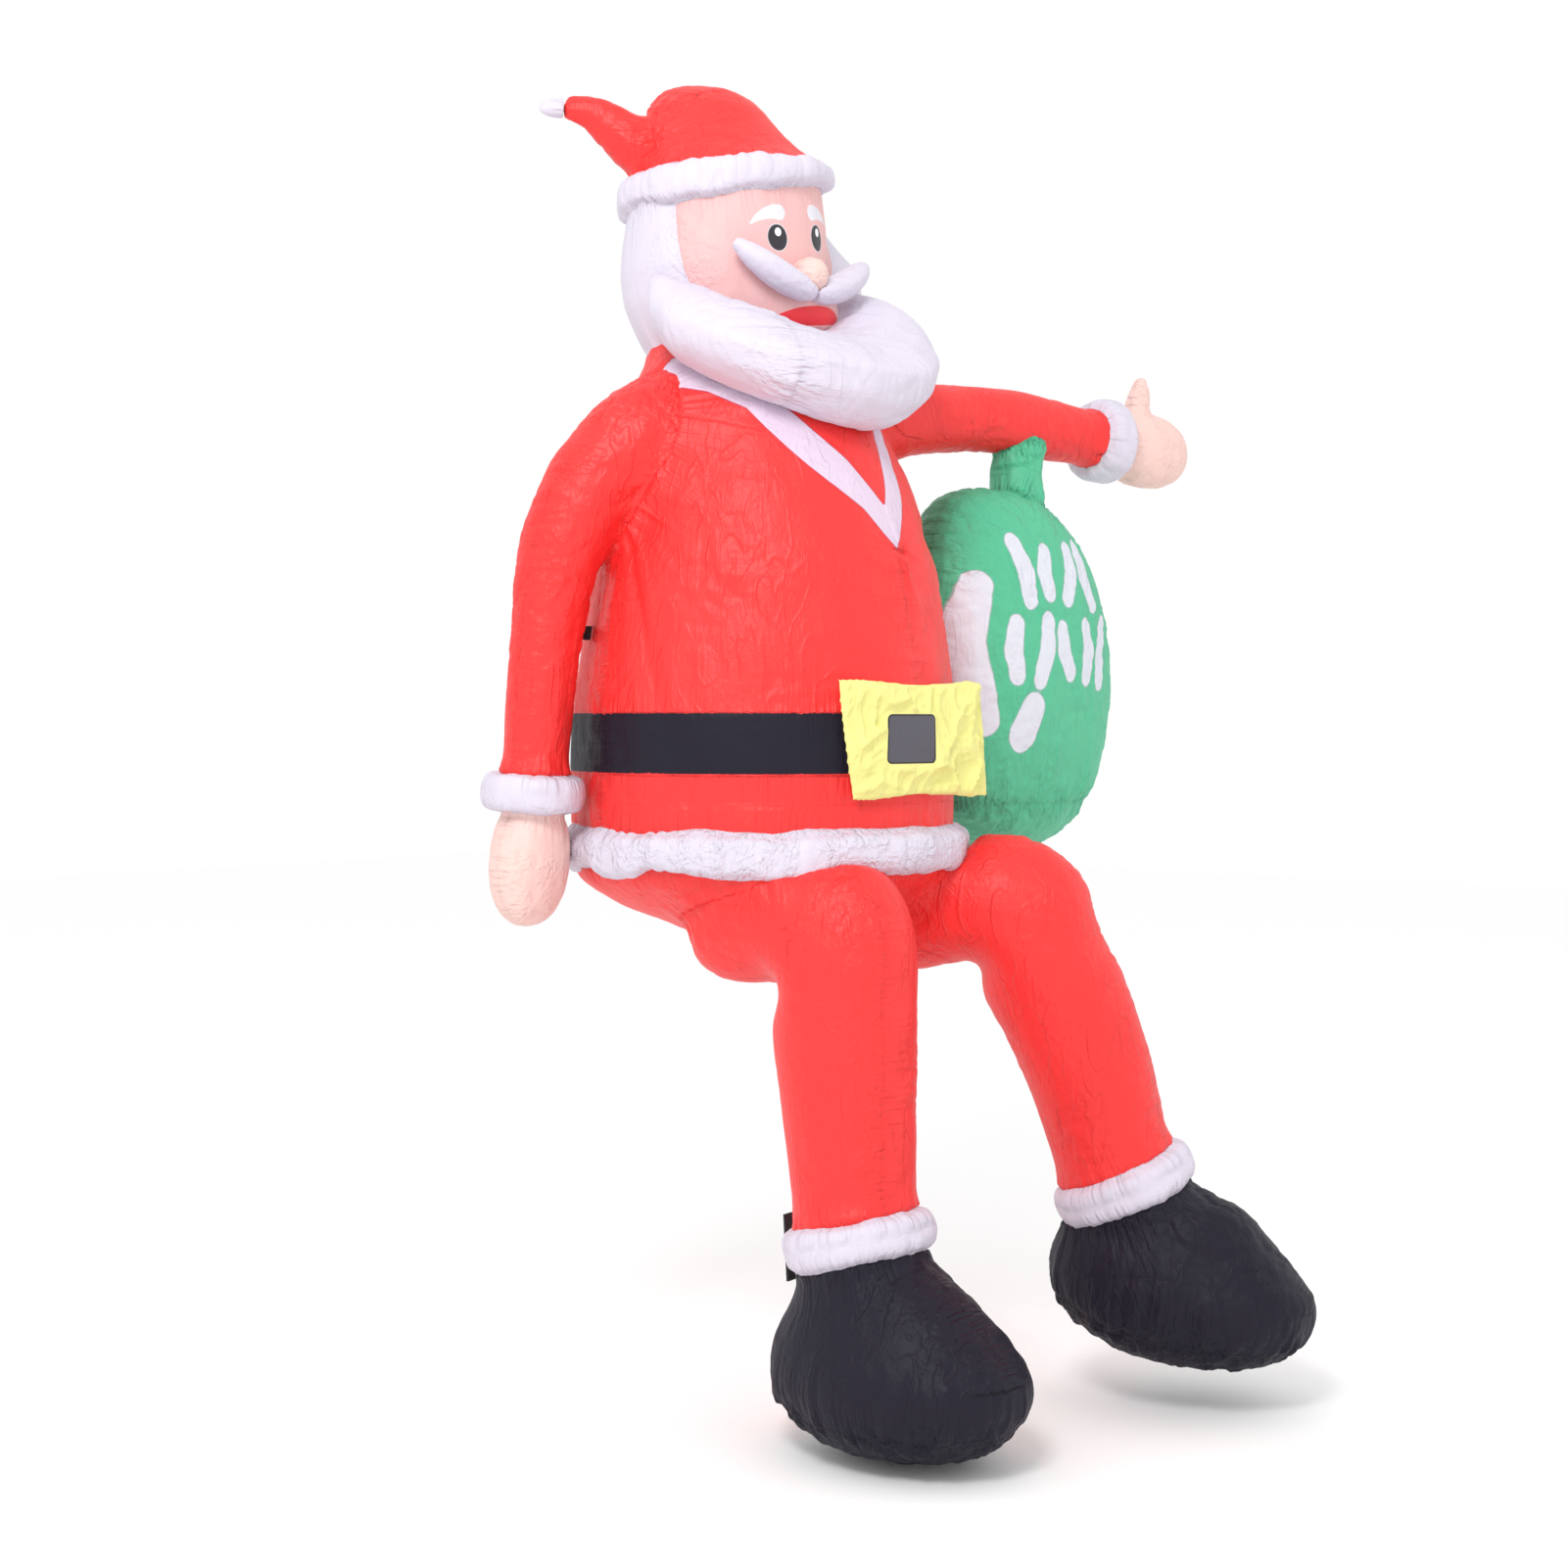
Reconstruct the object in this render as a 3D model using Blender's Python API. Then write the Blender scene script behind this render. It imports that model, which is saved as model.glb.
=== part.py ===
"""Inflatable Santa that sits on a ledge, with a sack under its left arm.

Metres, Z up. The figure faces -Y and its left hand is on +X. The origin is the middle of the flat
seat patch that rests on the ledge, and the legs hang in front of the ledge below Z = 0.
Each sewn chamber is one closed solid, and neighbours stand GAP apart where they are sewn together.
"""
import math

import bmesh
import bpy
from mathutils import Vector

for old in list(bpy.data.objects):
    bpy.data.objects.remove(old, do_unlink=True)

GAP = 0.0004              # room left at every seam between two chambers
CUTTER_GROWTH = 0.0007    # how far a chamber is grown before its neighbour is cut by it

# Coat, from the seat patch up to the neck
SEAT_HALF_WIDTH = 0.095
SEAT_HALF_DEPTH = 0.085
CROTCH_Z = 0.062
BOWL_Z = 0.098
HEM_BOTTOM_Z = 0.203
HEM_HEIGHT = 0.078
HEM_PUFF = 0.024
BELT_BOTTOM_Z = 0.380
BELT_HEIGHT = 0.105
BELT_DEPTH = 0.014
BELLY_RADIUS = 0.353
BELLY_Y = 0.131
CHEST_Z = 0.740
CHEST_RADIUS = 0.317
SHOULDER_Z = 0.995
SHOULDER_RADIUS = 0.256
NECK_Z = 1.145
NECK_RADIUS = 0.170
NECK_Y = 0.176
COAT_SIDES = 28

# Head and hat
HEAD_RADIUS = 0.185
CROWN_SHARE = 0.965
HEAD_Y = 0.222
HEAD_TOP_Z = 1.452
BAND_HEIGHT = 0.062
BAND_PUFF = 0.020
BAND_LOWER_SLOPE = 0.170   # the hat sits lower on its tail's side
BAND_UPPER_SLOPE = 0.080
HAT_HEIGHT = 0.203         # over the top of the head
HAT_LEAN = 0.075
HAT_TAIL_RADIUS = 0.058
HAT_TIP_RADIUS = 0.019
HAT_TAIL_WAY = Vector((-0.80, 0.60, 0.0))
HEAD_SIDES = 24
NOSE_RADIUS = 0.033
NOSE_Z = 1.275

# Moustache and beard, laid round the head by angle from the front
MOUSTACHE_ROOT_Z = 1.243
MOUSTACHE_TIP_Z = 1.318
MOUSTACHE_ANGLE = math.radians(46)
MOUSTACHE_RADIUS = 0.029
MOUSTACHE_LEFT_STAND = 0.036
BEARD_ANGLE = math.radians(92)
BEARD_REACH = 0.258
BEARD_END_REACH = 0.052
BEARD_FRONT_Z = 1.080
BEARD_END_Z = 1.222
BEARD_FRONT_HALF_HEIGHT = 0.103
BEARD_LEFT_LIFT = 0.048
BEARD_LEAN = 0.092
BEARD_SIDES = 12
BEARD_END_HALF_HEIGHT = 0.068

# Limbs
SHOULDER_TUBE_RADIUS = 0.112
WRIST_RADIUS = 0.060
WRIST_CUFF_RADIUS = 0.091
WRIST_CUFF_LENGTH = 0.068
HAND_LENGTH = 0.204
HAND_HALF_WIDTH = 0.080
HAND_HALF_THICKNESS = 0.060
THUMB_RADIUS = 0.030
THIGH_RADIUS = 0.130
ANKLE_RADIUS = 0.108
ANKLE_CUFF_RADIUS = 0.132
ANKLE_CUFF_LENGTH = 0.070
KNEE_BEND = 0.110
BOOT_LENGTH = 0.492
BOOT_WIDTH = 0.352
BOOT_HEIGHT = 0.298
BOOT_FORWARD = 0.078
BOOT_SIDES = 20
LIMB_SIDES = 16

# Sack
SACK_CENTRE = Vector((0.618, 0.010, 0.572))
SACK_HALF_WIDTH = 0.286
SACK_HALF_DEPTH = 0.150
SACK_HALF_HEIGHT = 0.358
SACK_TILT = 0.075
SACK_NECK_RADIUS = 0.056
SACK_NECK_TOP = Vector((0.664, 0.012, 1.030))
SACK_SIDES = 22

# Buckle, webbing tab and ankle strap
BUCKLE_WIDTH = 0.396
BUCKLE_HEIGHT = 0.206
BUCKLE_RISE = 0.006
BUCKLE_LEAN = 0.040
BUCKLE_THICKNESS = 0.026
WEBBING_WIDTH = 0.025
WEBBING_THICKNESS = 0.004
TAB_LENGTH = 0.032
TAB_Z = 0.628
TAB_ANGLE = math.radians(118)
TAB_STAND = 0.026
STRAP_LENGTH = 0.116
STRAP_DROP = 0.018         # how far below the cuff's middle the strap's middle is
STRAP_ANGLE = math.radians(172)

COLOURS = {
    "red": (0.90, 0.055, 0.050, 1.0),
    "white": (0.90, 0.86, 0.92, 1.0),
    "skin": (0.92, 0.60, 0.50, 1.0),
    "green": (0.08, 0.44, 0.22, 1.0),
    "yellow": (0.90, 0.84, 0.10, 1.0),
    "black": (0.030, 0.028, 0.040, 1.0),
}


def fabric(colour):
    """One coated nylon cloth for each colour of the figure."""
    material = bpy.data.materials.get(colour)
    if material is None:
        material = bpy.data.materials.new(colour)
        material.use_nodes = True
        shader = material.node_tree.nodes["Principled BSDF"]
        shader.inputs["Base Color"].default_value = COLOURS[colour]
        shader.inputs["Roughness"].default_value = 0.62
        shader.inputs["Metallic"].default_value = 0.0
    return material


def ring(centre, side, out, half_side, half_out, half_in, count, power=2.0):
    """Points of one closed section; half_out is its reach along out and half_in against it."""
    points = []
    for step in range(count):
        angle = 2 * math.pi * step / count
        across = math.copysign(abs(math.cos(angle)) ** (2 / power), math.cos(angle))
        along = math.copysign(abs(math.sin(angle)) ** (2 / power), math.sin(angle))
        reach = half_out if along > 0 else half_in
        points.append(centre + side * (across * half_side) + out * (along * reach))
    return points


def add_solid(name, rings, colour, closed=False):
    """Skin a row of sections into one closed body, with flat caps unless the row closes on itself."""
    bm = bmesh.new()
    rows = [[bm.verts.new(point) for point in points] for points in rings]
    count = len(rows[0])
    pairs = list(zip(rows, rows[1:]))
    if closed:
        pairs.append((rows[-1], rows[0]))
    for lower, upper in pairs:
        for step in range(count):
            after = (step + 1) % count
            bm.faces.new((lower[step], lower[after], upper[after], upper[step]))
    if not closed:
        bm.faces.new(rows[0][::-1])
        bm.faces.new(rows[-1])
    bmesh.ops.recalc_face_normals(bm, faces=bm.faces)
    mesh = bpy.data.meshes.new(name)
    bm.to_mesh(mesh)
    bm.free()
    solid = bpy.data.objects.new(name, mesh)
    bpy.context.scene.collection.objects.link(solid)
    mesh.materials.append(fabric(colour))
    mesh.shade_smooth()
    mesh.set_sharp_from_angle(angle=math.radians(50))
    return solid


def grown_cutter(solid):
    """A hidden copy of a solid, grown along its normals, that leaves the seam's gap when it cuts."""
    cutter = solid.copy()
    cutter.data = solid.data.copy()
    cutter.name = solid.name + "_cutter"
    bpy.context.scene.collection.objects.link(cutter)
    cutter.hide_render = True
    cutter.display_type = "WIRE"
    bm = bmesh.new()
    bm.from_mesh(cutter.data)
    bmesh.ops.dissolve_degenerate(bm, dist=1e-6, edges=bm.edges)
    bm.normal_update()
    shifts = [(vert, vert.normal * CUTTER_GROWTH * vert.calc_shell_factor()) for vert in bm.verts]
    for vert, shift in shifts:
        vert.co += shift
    bm.to_mesh(cutter.data)
    bm.free()
    return cutter


def combine(solid, other, operation):
    """Run one Boolean, keep its result as the solid's own mesh and drop the other."""
    modifier = solid.modifiers.new(operation.title(), "BOOLEAN")
    modifier.operation = operation
    modifier.solver = "EXACT"
    modifier.object = other
    bpy.context.view_layer.update()
    result = bpy.data.meshes.new_from_object(solid.evaluated_get(bpy.context.evaluated_depsgraph_get()))
    solid.modifiers.clear()
    solid.data = result
    result.name = solid.name
    bpy.data.objects.remove(other, do_unlink=True)


def trim(solid, *neighbours):
    """Cut a chamber back to the face of each neighbour it is sewn to."""
    for neighbour in neighbours:
        combine(solid, grown_cutter(neighbour), "DIFFERENCE")


def smooth_path(points, per_span):
    """A Catmull-Rom curve through the given rows of numbers, read at even steps."""
    rows = [points[0]] + list(points) + [points[-1]]
    path = []
    for first, start, end, last in zip(rows, rows[1:], rows[2:], rows[3:]):
        for step in range(per_span):
            t = step / per_span
            weights = (
                -0.5 * t ** 3 + t ** 2 - 0.5 * t,
                1.5 * t ** 3 - 2.5 * t ** 2 + 1,
                -1.5 * t ** 3 + 2 * t ** 2 + 0.5 * t,
                0.5 * t ** 3 - 0.5 * t ** 2,
            )
            knots = (first, start, end, last)
            path.append([sum(w * k[axis] for w, k in zip(weights, knots)) for axis in range(len(start))])
    path.append(list(points[-1]))
    return path


def tube_rings(path, side_hint, count=LIMB_SIDES, power=2.0, thin=1.0):
    """Sections of a tube whose path rows are x, y, z and radius; thin narrows it across side_hint."""
    rings = []
    for index, row in enumerate(path):
        before = Vector(path[max(index - 1, 0)][:3])
        after = Vector(path[min(index + 1, len(path) - 1)][:3])
        along = (after - before).normalized()
        side = (side_hint - along * side_hint.dot(along)).normalized()
        out = along.cross(side)
        rings.append(ring(Vector(row[:3]), side, out, row[3] * thin, row[3], row[3], count, power))
    return rings


def dome(start, along, side, half_side, half_out, length, count, steps=4, power=2.0):
    """Sections of a rounded end that starts full size at start and closes after length."""
    out = along.cross(side)
    rings = []
    for step in range(1, steps + 1):
        angle = 0.5 * math.pi * step / (steps + 0.35)
        shrink = math.cos(angle)
        centre = start + along * (length * math.sin(angle))
        rings.append(ring(centre, side, out, half_side * shrink, half_out * shrink, half_out * shrink,
                          count, power))
    return rings


X_AXIS = Vector((1, 0, 0))
Y_AXIS = Vector((0, 1, 0))
Z_AXIS = Vector((0, 0, 1))


def level_ring(z, centre_y, half_width, half_depth, count, power=2.0):
    """A level section round the figure's own upright."""
    return ring(Vector((0, centre_y, z)), X_AXIS, Y_AXIS, half_width, half_depth, half_depth, count, power)


def tilted_ring(z, slope, centre_y, radius):
    """A round section of the head, lower by slope on the side of the hat's tail."""
    points = level_ring(z, centre_y, radius, radius, HEAD_SIDES)
    for point in points:
        point.z -= slope * HAT_TAIL_WAY.dot(point - Vector((0, centre_y, z)))
    return points


# Coat, belt, hem and buckle

def coat_levels():
    """The coat's profile from seat to neck, as rows of height, centre and half width and depth."""
    hem_top = HEM_BOTTOM_Z + HEM_HEIGHT
    belt_top = BELT_BOTTOM_Z + BELT_HEIGHT
    upper = smooth_path([
        (belt_top, BELLY_Y, BELLY_RADIUS, BELLY_RADIUS),
        (CHEST_Z, BELLY_Y - 0.006, CHEST_RADIUS, CHEST_RADIUS),
        (SHOULDER_Z, NECK_Y - 0.020, SHOULDER_RADIUS, SHOULDER_RADIUS * 0.95),
        (NECK_Z - 0.045, NECK_Y - 0.004, NECK_RADIUS * 1.22, NECK_RADIUS * 1.20),
        (NECK_Z, NECK_Y, NECK_RADIUS, NECK_RADIUS),
    ], 2)
    lower = [
        (0.0, 0.0, SEAT_HALF_WIDTH, SEAT_HALF_DEPTH),
        (0.012, 0.008, SEAT_HALF_WIDTH * 1.28, SEAT_HALF_DEPTH * 1.30),
        (CROTCH_Z, BELLY_Y * 0.55, BELLY_RADIUS * 0.39, BELLY_RADIUS * 0.38),
        (BOWL_Z, BELLY_Y * 0.90, BELLY_RADIUS * 0.52, BELLY_RADIUS * 0.50),
        (HEM_BOTTOM_Z * 0.66, BELLY_Y, BELLY_RADIUS * 0.74, BELLY_RADIUS * 0.72),
        (HEM_BOTTOM_Z * 0.86, BELLY_Y, BELLY_RADIUS * 0.92, BELLY_RADIUS * 0.92),
        (HEM_BOTTOM_Z, BELLY_Y, BELLY_RADIUS, BELLY_RADIUS),
        (hem_top, BELLY_Y, BELLY_RADIUS, BELLY_RADIUS),
        (BELT_BOTTOM_Z, BELLY_Y, BELLY_RADIUS, BELLY_RADIUS),
    ]
    return lower, upper


def make_coat():
    """The body chamber, with the belt's seat sunk into it, and the same form with no belt seat."""
    lower, upper = coat_levels()
    sunk = BELLY_RADIUS - BELT_DEPTH
    groove = [(BELT_BOTTOM_Z, BELLY_Y, sunk, sunk), (BELT_BOTTOM_Z + BELT_HEIGHT, BELLY_Y, sunk, sunk)]
    coat = add_solid("coat", [level_ring(*row, COAT_SIDES) for row in lower + groove + upper], "red")
    form = add_solid("coat_form", [level_ring(*row, COAT_SIDES) for row in lower + upper], "red")
    form.hide_render = True
    form.display_type = "WIRE"
    return coat, form


def make_belt():
    """A flat black band let into the coat, flush with it."""
    inner = BELLY_RADIUS - BELT_DEPTH + GAP
    bottom = BELT_BOTTOM_Z + GAP
    top = BELT_BOTTOM_Z + BELT_HEIGHT - GAP
    rows = [(bottom, inner), (bottom, BELLY_RADIUS), (top, BELLY_RADIUS), (top, inner)]
    rings = [level_ring(z, BELLY_Y, radius, radius, COAT_SIDES) for z, radius in rows]
    return add_solid("belt", rings, "black", closed=True)


def puffed_rows(radius, puff, bulges=4):
    """A fur band's section, as rows of its share of the band's height and its reach from the axis."""
    inner = radius + GAP
    rows = [(0.0, inner)]
    for step in range(bulges + 1):
        angle = math.pi * step / bulges
        lift = 0.5 - 0.5 * math.cos(angle)
        rows.append((0.04 + 0.92 * lift, inner + 0.003 + puff * math.sin(angle) ** 0.6))
    rows.append((1.0, inner))
    return rows


def make_hem():
    """The gathered band of fur cloth round the coat's foot."""
    rings = [level_ring(HEM_BOTTOM_Z + HEM_HEIGHT * up, BELLY_Y, reach, reach, COAT_SIDES)
             for up, reach in puffed_rows(BELLY_RADIUS, HEM_PUFF)]
    return add_solid("hem", rings, "white", closed=True)


def make_buckle(form):
    """The padded yellow panel on the belt's front, nearly flat, so its ends stand off the belly."""
    middle_z = BELT_BOTTOM_Z + BELT_HEIGHT / 2 + BUCKLE_RISE
    rings = []
    columns = 9
    for step in range(columns):
        share = 2 * step / (columns - 1) - 1
        edge = abs(share) ** 3
        x = share * BUCKLE_WIDTH / 2
        wrap = BELLY_RADIUS - math.sqrt(BELLY_RADIUS ** 2 - x ** 2)
        follow = 0.45 if share < 0 else -0.10
        y = BELLY_Y - BELLY_RADIUS + wrap * follow - BUCKLE_THICKNESS * 0.22
        half_height = BUCKLE_HEIGHT / 2 * (1 - 0.05 * math.cos(share * math.pi))
        half_thick = BUCKLE_THICKNESS / 2 * (1 - 0.72 * edge)
        section = ring(Vector((x, y, middle_z)), Y_AXIS, Z_AXIS, half_thick, half_height, half_height, 12, 3.2)
        for point in section:
            below = 0.5 - (point.z - middle_z) / BUCKLE_HEIGHT
            point.x += BUCKLE_LEAN * (max(0.0, -share) * below - max(0.0, share) * (1 - below) * 0.6)
        rings.append(section)
    buckle = add_solid("buckle", rings, "yellow")
    trim(buckle, form)
    return buckle


# Head, hat and face

def head_point(angle, reach, z):
    """A point at an angle from the head's front, towards the figure's right, and a reach from its axis."""
    return Vector((-reach * math.sin(angle), HEAD_Y - reach * math.cos(angle), z))


def make_head():
    """The head chamber, a soft cylinder that narrows at the neck."""
    chin = NECK_Z + GAP
    face = HEAD_TOP_Z - chin
    rows = [
        (chin, 0.79, 0.0),
        (chin + face * 0.13, 0.90, 0.0),
        (chin + face * 0.30, 0.98, BAND_LOWER_SLOPE * 0.1),
        (chin + face * 0.50, 1.02, BAND_LOWER_SLOPE * 0.3),
        (chin + face * 0.72, 1.00, BAND_LOWER_SLOPE * 0.7),
        (HEAD_TOP_Z - BAND_HEIGHT / 2 - 0.004, CROWN_SHARE, BAND_LOWER_SLOPE),
        (HEAD_TOP_Z, CROWN_SHARE, (BAND_LOWER_SLOPE + BAND_UPPER_SLOPE) / 2),
    ]
    rings = [tilted_ring(z, slope, HEAD_Y, HEAD_RADIUS * share) for z, share, slope in rows]
    return add_solid("head", rings, "skin")


def make_hat_band(hat):
    """The fur band round the hat's foot, deeper on the side of the hat's tail."""
    rings = []
    for up, reach in puffed_rows(HEAD_RADIUS * CROWN_SHARE, BAND_PUFF):
        slope = BAND_LOWER_SLOPE + (BAND_UPPER_SLOPE - BAND_LOWER_SLOPE) * up
        rings.append(tilted_ring(HEAD_TOP_Z + BAND_HEIGHT * (up - 0.5), slope, HEAD_Y, reach))
    band = add_solid("hat_band", rings, "white", closed=True)
    trim(band, hat)
    return band


def make_hat():
    """The hat's crown, which leans back, with its tail flopped over to the figure's right and back."""
    base = HEAD_TOP_Z + GAP
    rise = HAT_HEIGHT - GAP
    radius = HEAD_RADIUS * CROWN_SHARE
    middle_slope = (BAND_LOWER_SLOPE + BAND_UPPER_SLOPE) / 2
    rows = [(0.0, 1.0, 0.0, middle_slope), (0.15, 1.0, 0.0, BAND_UPPER_SLOPE),
            (0.30, 0.88, 0.24, BAND_UPPER_SLOPE * 0.7), (0.52, 0.76, 0.50, BAND_UPPER_SLOPE * 0.3),
            (0.74, 0.635, 0.68, 0.0), (0.89, 0.47, 0.82, 0.0), (0.97, 0.27, 0.95, 0.0), (1.0, 0.08, 1.0, 0.0)]
    crown = [tilted_ring(base + rise * up, slope, HEAD_Y + HAT_LEAN * back, radius * wide)
             for up, wide, back, slope in rows]
    hat = add_solid("hat", crown, "red")
    heading = HAT_TAIL_WAY
    root = Vector((0, HEAD_Y + HAT_LEAN * 0.4, base))
    stations = [(0.085, 0.045, 0.85), (0.135, 0.072, 0.92), (0.180, 0.106, 0.76), (0.222, 0.134, 0.56),
                (0.252, 0.140, 0.44), (0.280, 0.141, 0.34)]
    path = [tuple(root + heading * far + Z_AXIS * up) + (HAT_TAIL_RADIUS * wide,) for far, up, wide in stations]
    tail = add_solid("hat_tail", tube_rings(smooth_path(path, 2), Z_AXIS, 14), "red")
    combine(hat, tail, "UNION")

    end = Vector(path[-1][:3])
    tip_start = end + heading * GAP
    tip_rings = [ring(tip_start, Z_AXIS, heading.cross(Z_AXIS), HAT_TIP_RADIUS, HAT_TIP_RADIUS,
                      HAT_TIP_RADIUS, 12)]
    tip_rings += dome(tip_start, heading, Z_AXIS, HAT_TIP_RADIUS, HAT_TIP_RADIUS, 0.046, 12)
    add_solid("hat_tip", tip_rings, "white")
    return hat


def make_nose(head):
    """A small stuffed ball sewn to the front of the face."""
    centre = head_point(0, HEAD_RADIUS * 1.02 + NOSE_RADIUS * 0.45, NOSE_Z)
    rings = []
    steps = 7
    for step in range(steps + 1):
        angle = math.pi * (0.06 + 0.88 * step / steps)
        size = NOSE_RADIUS * math.sin(angle)
        middle = centre + Y_AXIS * (NOSE_RADIUS * math.cos(angle))
        rings.append(ring(middle, X_AXIS, Z_AXIS, size, size, size, 10, 2.2))
    nose = add_solid("nose", rings, "skin")
    trim(nose, head)
    return nose


def make_moustache(name, hand, head, nose):
    """One stuffed half of the moustache; hand is 1 on the figure's right and -1 on its left."""
    rows = []
    stations = [(0.03, 0.045, 0.0, 0.55), (0.16, 0.045, 0.03, 0.85), (0.38, 0.047, 0.18, 1.0),
                (0.62, 0.055, 0.45, 0.98), (0.84, 0.062, 0.78, 0.72), (0.97, 0.066, 0.98, 0.36)]
    stand = MOUSTACHE_LEFT_STAND if hand < 0 else 0.0
    for share, off, rise, size in stations:
        z = MOUSTACHE_ROOT_Z + (MOUSTACHE_TIP_Z - MOUSTACHE_ROOT_Z) * rise
        point = head_point(hand * MOUSTACHE_ANGLE * share, HEAD_RADIUS + off * 0.55 + stand * rise, z)
        rows.append(tuple(point) + (MOUSTACHE_RADIUS * size,))
    half = add_solid(name, tube_rings(smooth_path(rows, 2), Z_AXIS, 9, 2.0, 0.86), "white")
    trim(half, head, nose)
    return half


def make_beard(*neighbours):
    """A fat crescent that hangs from cheek to cheek and is fullest in front."""
    rings = []
    stations = 17
    for step in range(stations):
        share = 2 * step / (stations - 1) - 1
        angle = BEARD_ANGLE * share
        front = math.cos(share * math.pi / 2)
        end = 1.0 - 0.80 * abs(share) ** 14
        reach = BEARD_END_REACH + (BEARD_REACH - BEARD_END_REACH) * front ** 0.80
        half_reach = reach / 2 * end
        middle = HEAD_RADIUS - 0.018 + reach / 2
        z = BEARD_END_Z + (BEARD_FRONT_Z - BEARD_END_Z) * front ** 1.15 + 0.045 * abs(share) ** 14
        left, right = max(0.0, -share), max(0.0, share)
        z += BEARD_LEFT_LIFT * math.sin(math.pi * left) ** 2
        half_height = BEARD_END_HALF_HEIGHT + (BEARD_FRONT_HALF_HEIGHT - BEARD_END_HALF_HEIGHT) * front
        radial = head_point(angle, 1.0, 0.0) - head_point(angle, 0.0, 0.0)
        above = half_height * end * (1 - 0.10 * front ** 8)
        below = half_height * end * (1 - 0.16 * math.sin(math.pi * right))
        section = ring(head_point(angle, middle, z), radial, Z_AXIS, half_reach, above, below, BEARD_SIDES, 2.2)
        lean = BEARD_LEAN * front * (1 - 0.7 * math.sin(math.pi * left))
        for point in section:
            point -= radial * (lean * max(0.0, point.z - z) / half_height)
        rings.append(section)
    beard = add_solid("beard", rings, "white")
    trim(beard, *neighbours)
    return beard


# Limbs

def make_sleeve(name, path, form):
    """A sleeve from inside the shoulder seam to a flat end at the wrist, cut back to the coat."""
    sleeve = add_solid(name, tube_rings(path, Y_AXIS, LIMB_SIDES), "red")
    trim(sleeve, form)
    return sleeve


def limb_band(name, start, along, side, inner, outer, length, colour="white", count=LIMB_SIDES):
    """A puffed cuff between two flat ends, across the way along that the limb runs."""
    out = along.cross(side)
    rings = []
    steps = 5
    for step in range(steps + 1):
        angle = math.pi * step / steps
        size = inner + (outer - inner) * math.sin(angle) ** 0.55 if 0 < step < steps else inner
        centre = start + along * (length * (0.5 - 0.5 * math.cos(angle)))
        rings.append(ring(centre, side, out, size, size, size, count))
    return add_solid(name, rings, colour)


def make_hand(name, start, along, palm, thumb_way, thumb_turn):
    """A mitten with one thumb; palm is the way its broad side faces and thumb_way where the thumb is."""
    rings = []
    stations = [(0.0, 0.62, 0.85), (0.10, 0.80, 0.98), (0.28, 0.97, 1.0), (0.48, 1.0, 1.0), (0.68, 0.92, 0.93),
                (0.84, 0.74, 0.76), (0.95, 0.46, 0.48), (1.0, 0.16, 0.18)]
    for far, wide, thick in stations:
        rings.append(ring(start + along * (HAND_LENGTH * far), thumb_way, palm, HAND_HALF_WIDTH * wide,
                          HAND_HALF_THICKNESS * thick, HAND_HALF_THICKNESS * thick, 14, 2.2))
    hand = add_solid(name, rings, "skin")
    root = start + along * (HAND_LENGTH * 0.27) + thumb_way * (HAND_HALF_WIDTH * 0.35)
    rise = (thumb_way * math.cos(thumb_turn) + along * math.sin(thumb_turn)).normalized()
    stations = [(0.0, 1.05), (0.045, 1.0), (0.082, 0.84), (0.108, 0.60), (0.126, 0.28)]
    path = [tuple(root + rise * far) + (THUMB_RADIUS * size,) for far, size in stations]
    combine(hand, add_solid(name + "_thumb", tube_rings(path, palm, 10), "skin"), "UNION")
    return hand


def bent_leg_rings(hip, knee, ankle, cap, bow, hem_out):
    """A trouser leg's sections, folded round the hollow of the knee; cap swells the knee, bow the shin."""
    thigh = (knee - hip).normalized()
    shin = (ankle - knee).normalized()
    side = shin.cross(thigh).normalized()
    turn = thigh.angle(shin)
    run = KNEE_BEND * math.tan(turn / 2)
    arc_start = knee - thigh * run
    hollow = arc_start + (shin - thigh * shin.dot(thigh)).normalized() * KNEE_BEND
    inner = KNEE_BEND - 0.014
    rings = []
    for far, size in ((0.125, 0.42), (0.105, 0.72), (0.060, 0.93), (0.0, 1.0)):
        out = (arc_start - hollow).normalized()
        rings.append(ring(hip - thigh * far, side, out, THIGH_RADIUS * size, THIGH_RADIUS * size,
                          min(THIGH_RADIUS, hip.z) * size, LIMB_SIDES))
    folds = 6
    for step in range(folds + 1):
        angle = turn * step / folds
        out = (arc_start - hollow).normalized() * math.cos(angle) + thigh * math.sin(angle)
        crest = math.sin(math.pi * step / folds)
        rings.append(ring(hollow + out * KNEE_BEND, side, out, THIGH_RADIUS, THIGH_RADIUS * (1 + cap * crest),
                          min(inner, THIGH_RADIUS), LIMB_SIDES))
    out = thigh - shin * thigh.dot(shin)
    out.normalize()
    arc_end = hollow + out * KNEE_BEND
    for share, size in ((0.12, 0.97), (0.32, 0.935), (0.60, 0.875), (1.0, ANKLE_RADIUS / THIGH_RADIUS)):
        centre = arc_end.lerp(ankle, share) + out * (bow * math.sin(math.pi * share))
        radius = THIGH_RADIUS * size
        level = hem_out if share == 1.0 else out
        rings.append(ring(centre, side, level, radius, radius, radius, LIMB_SIDES))
    return rings


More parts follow.
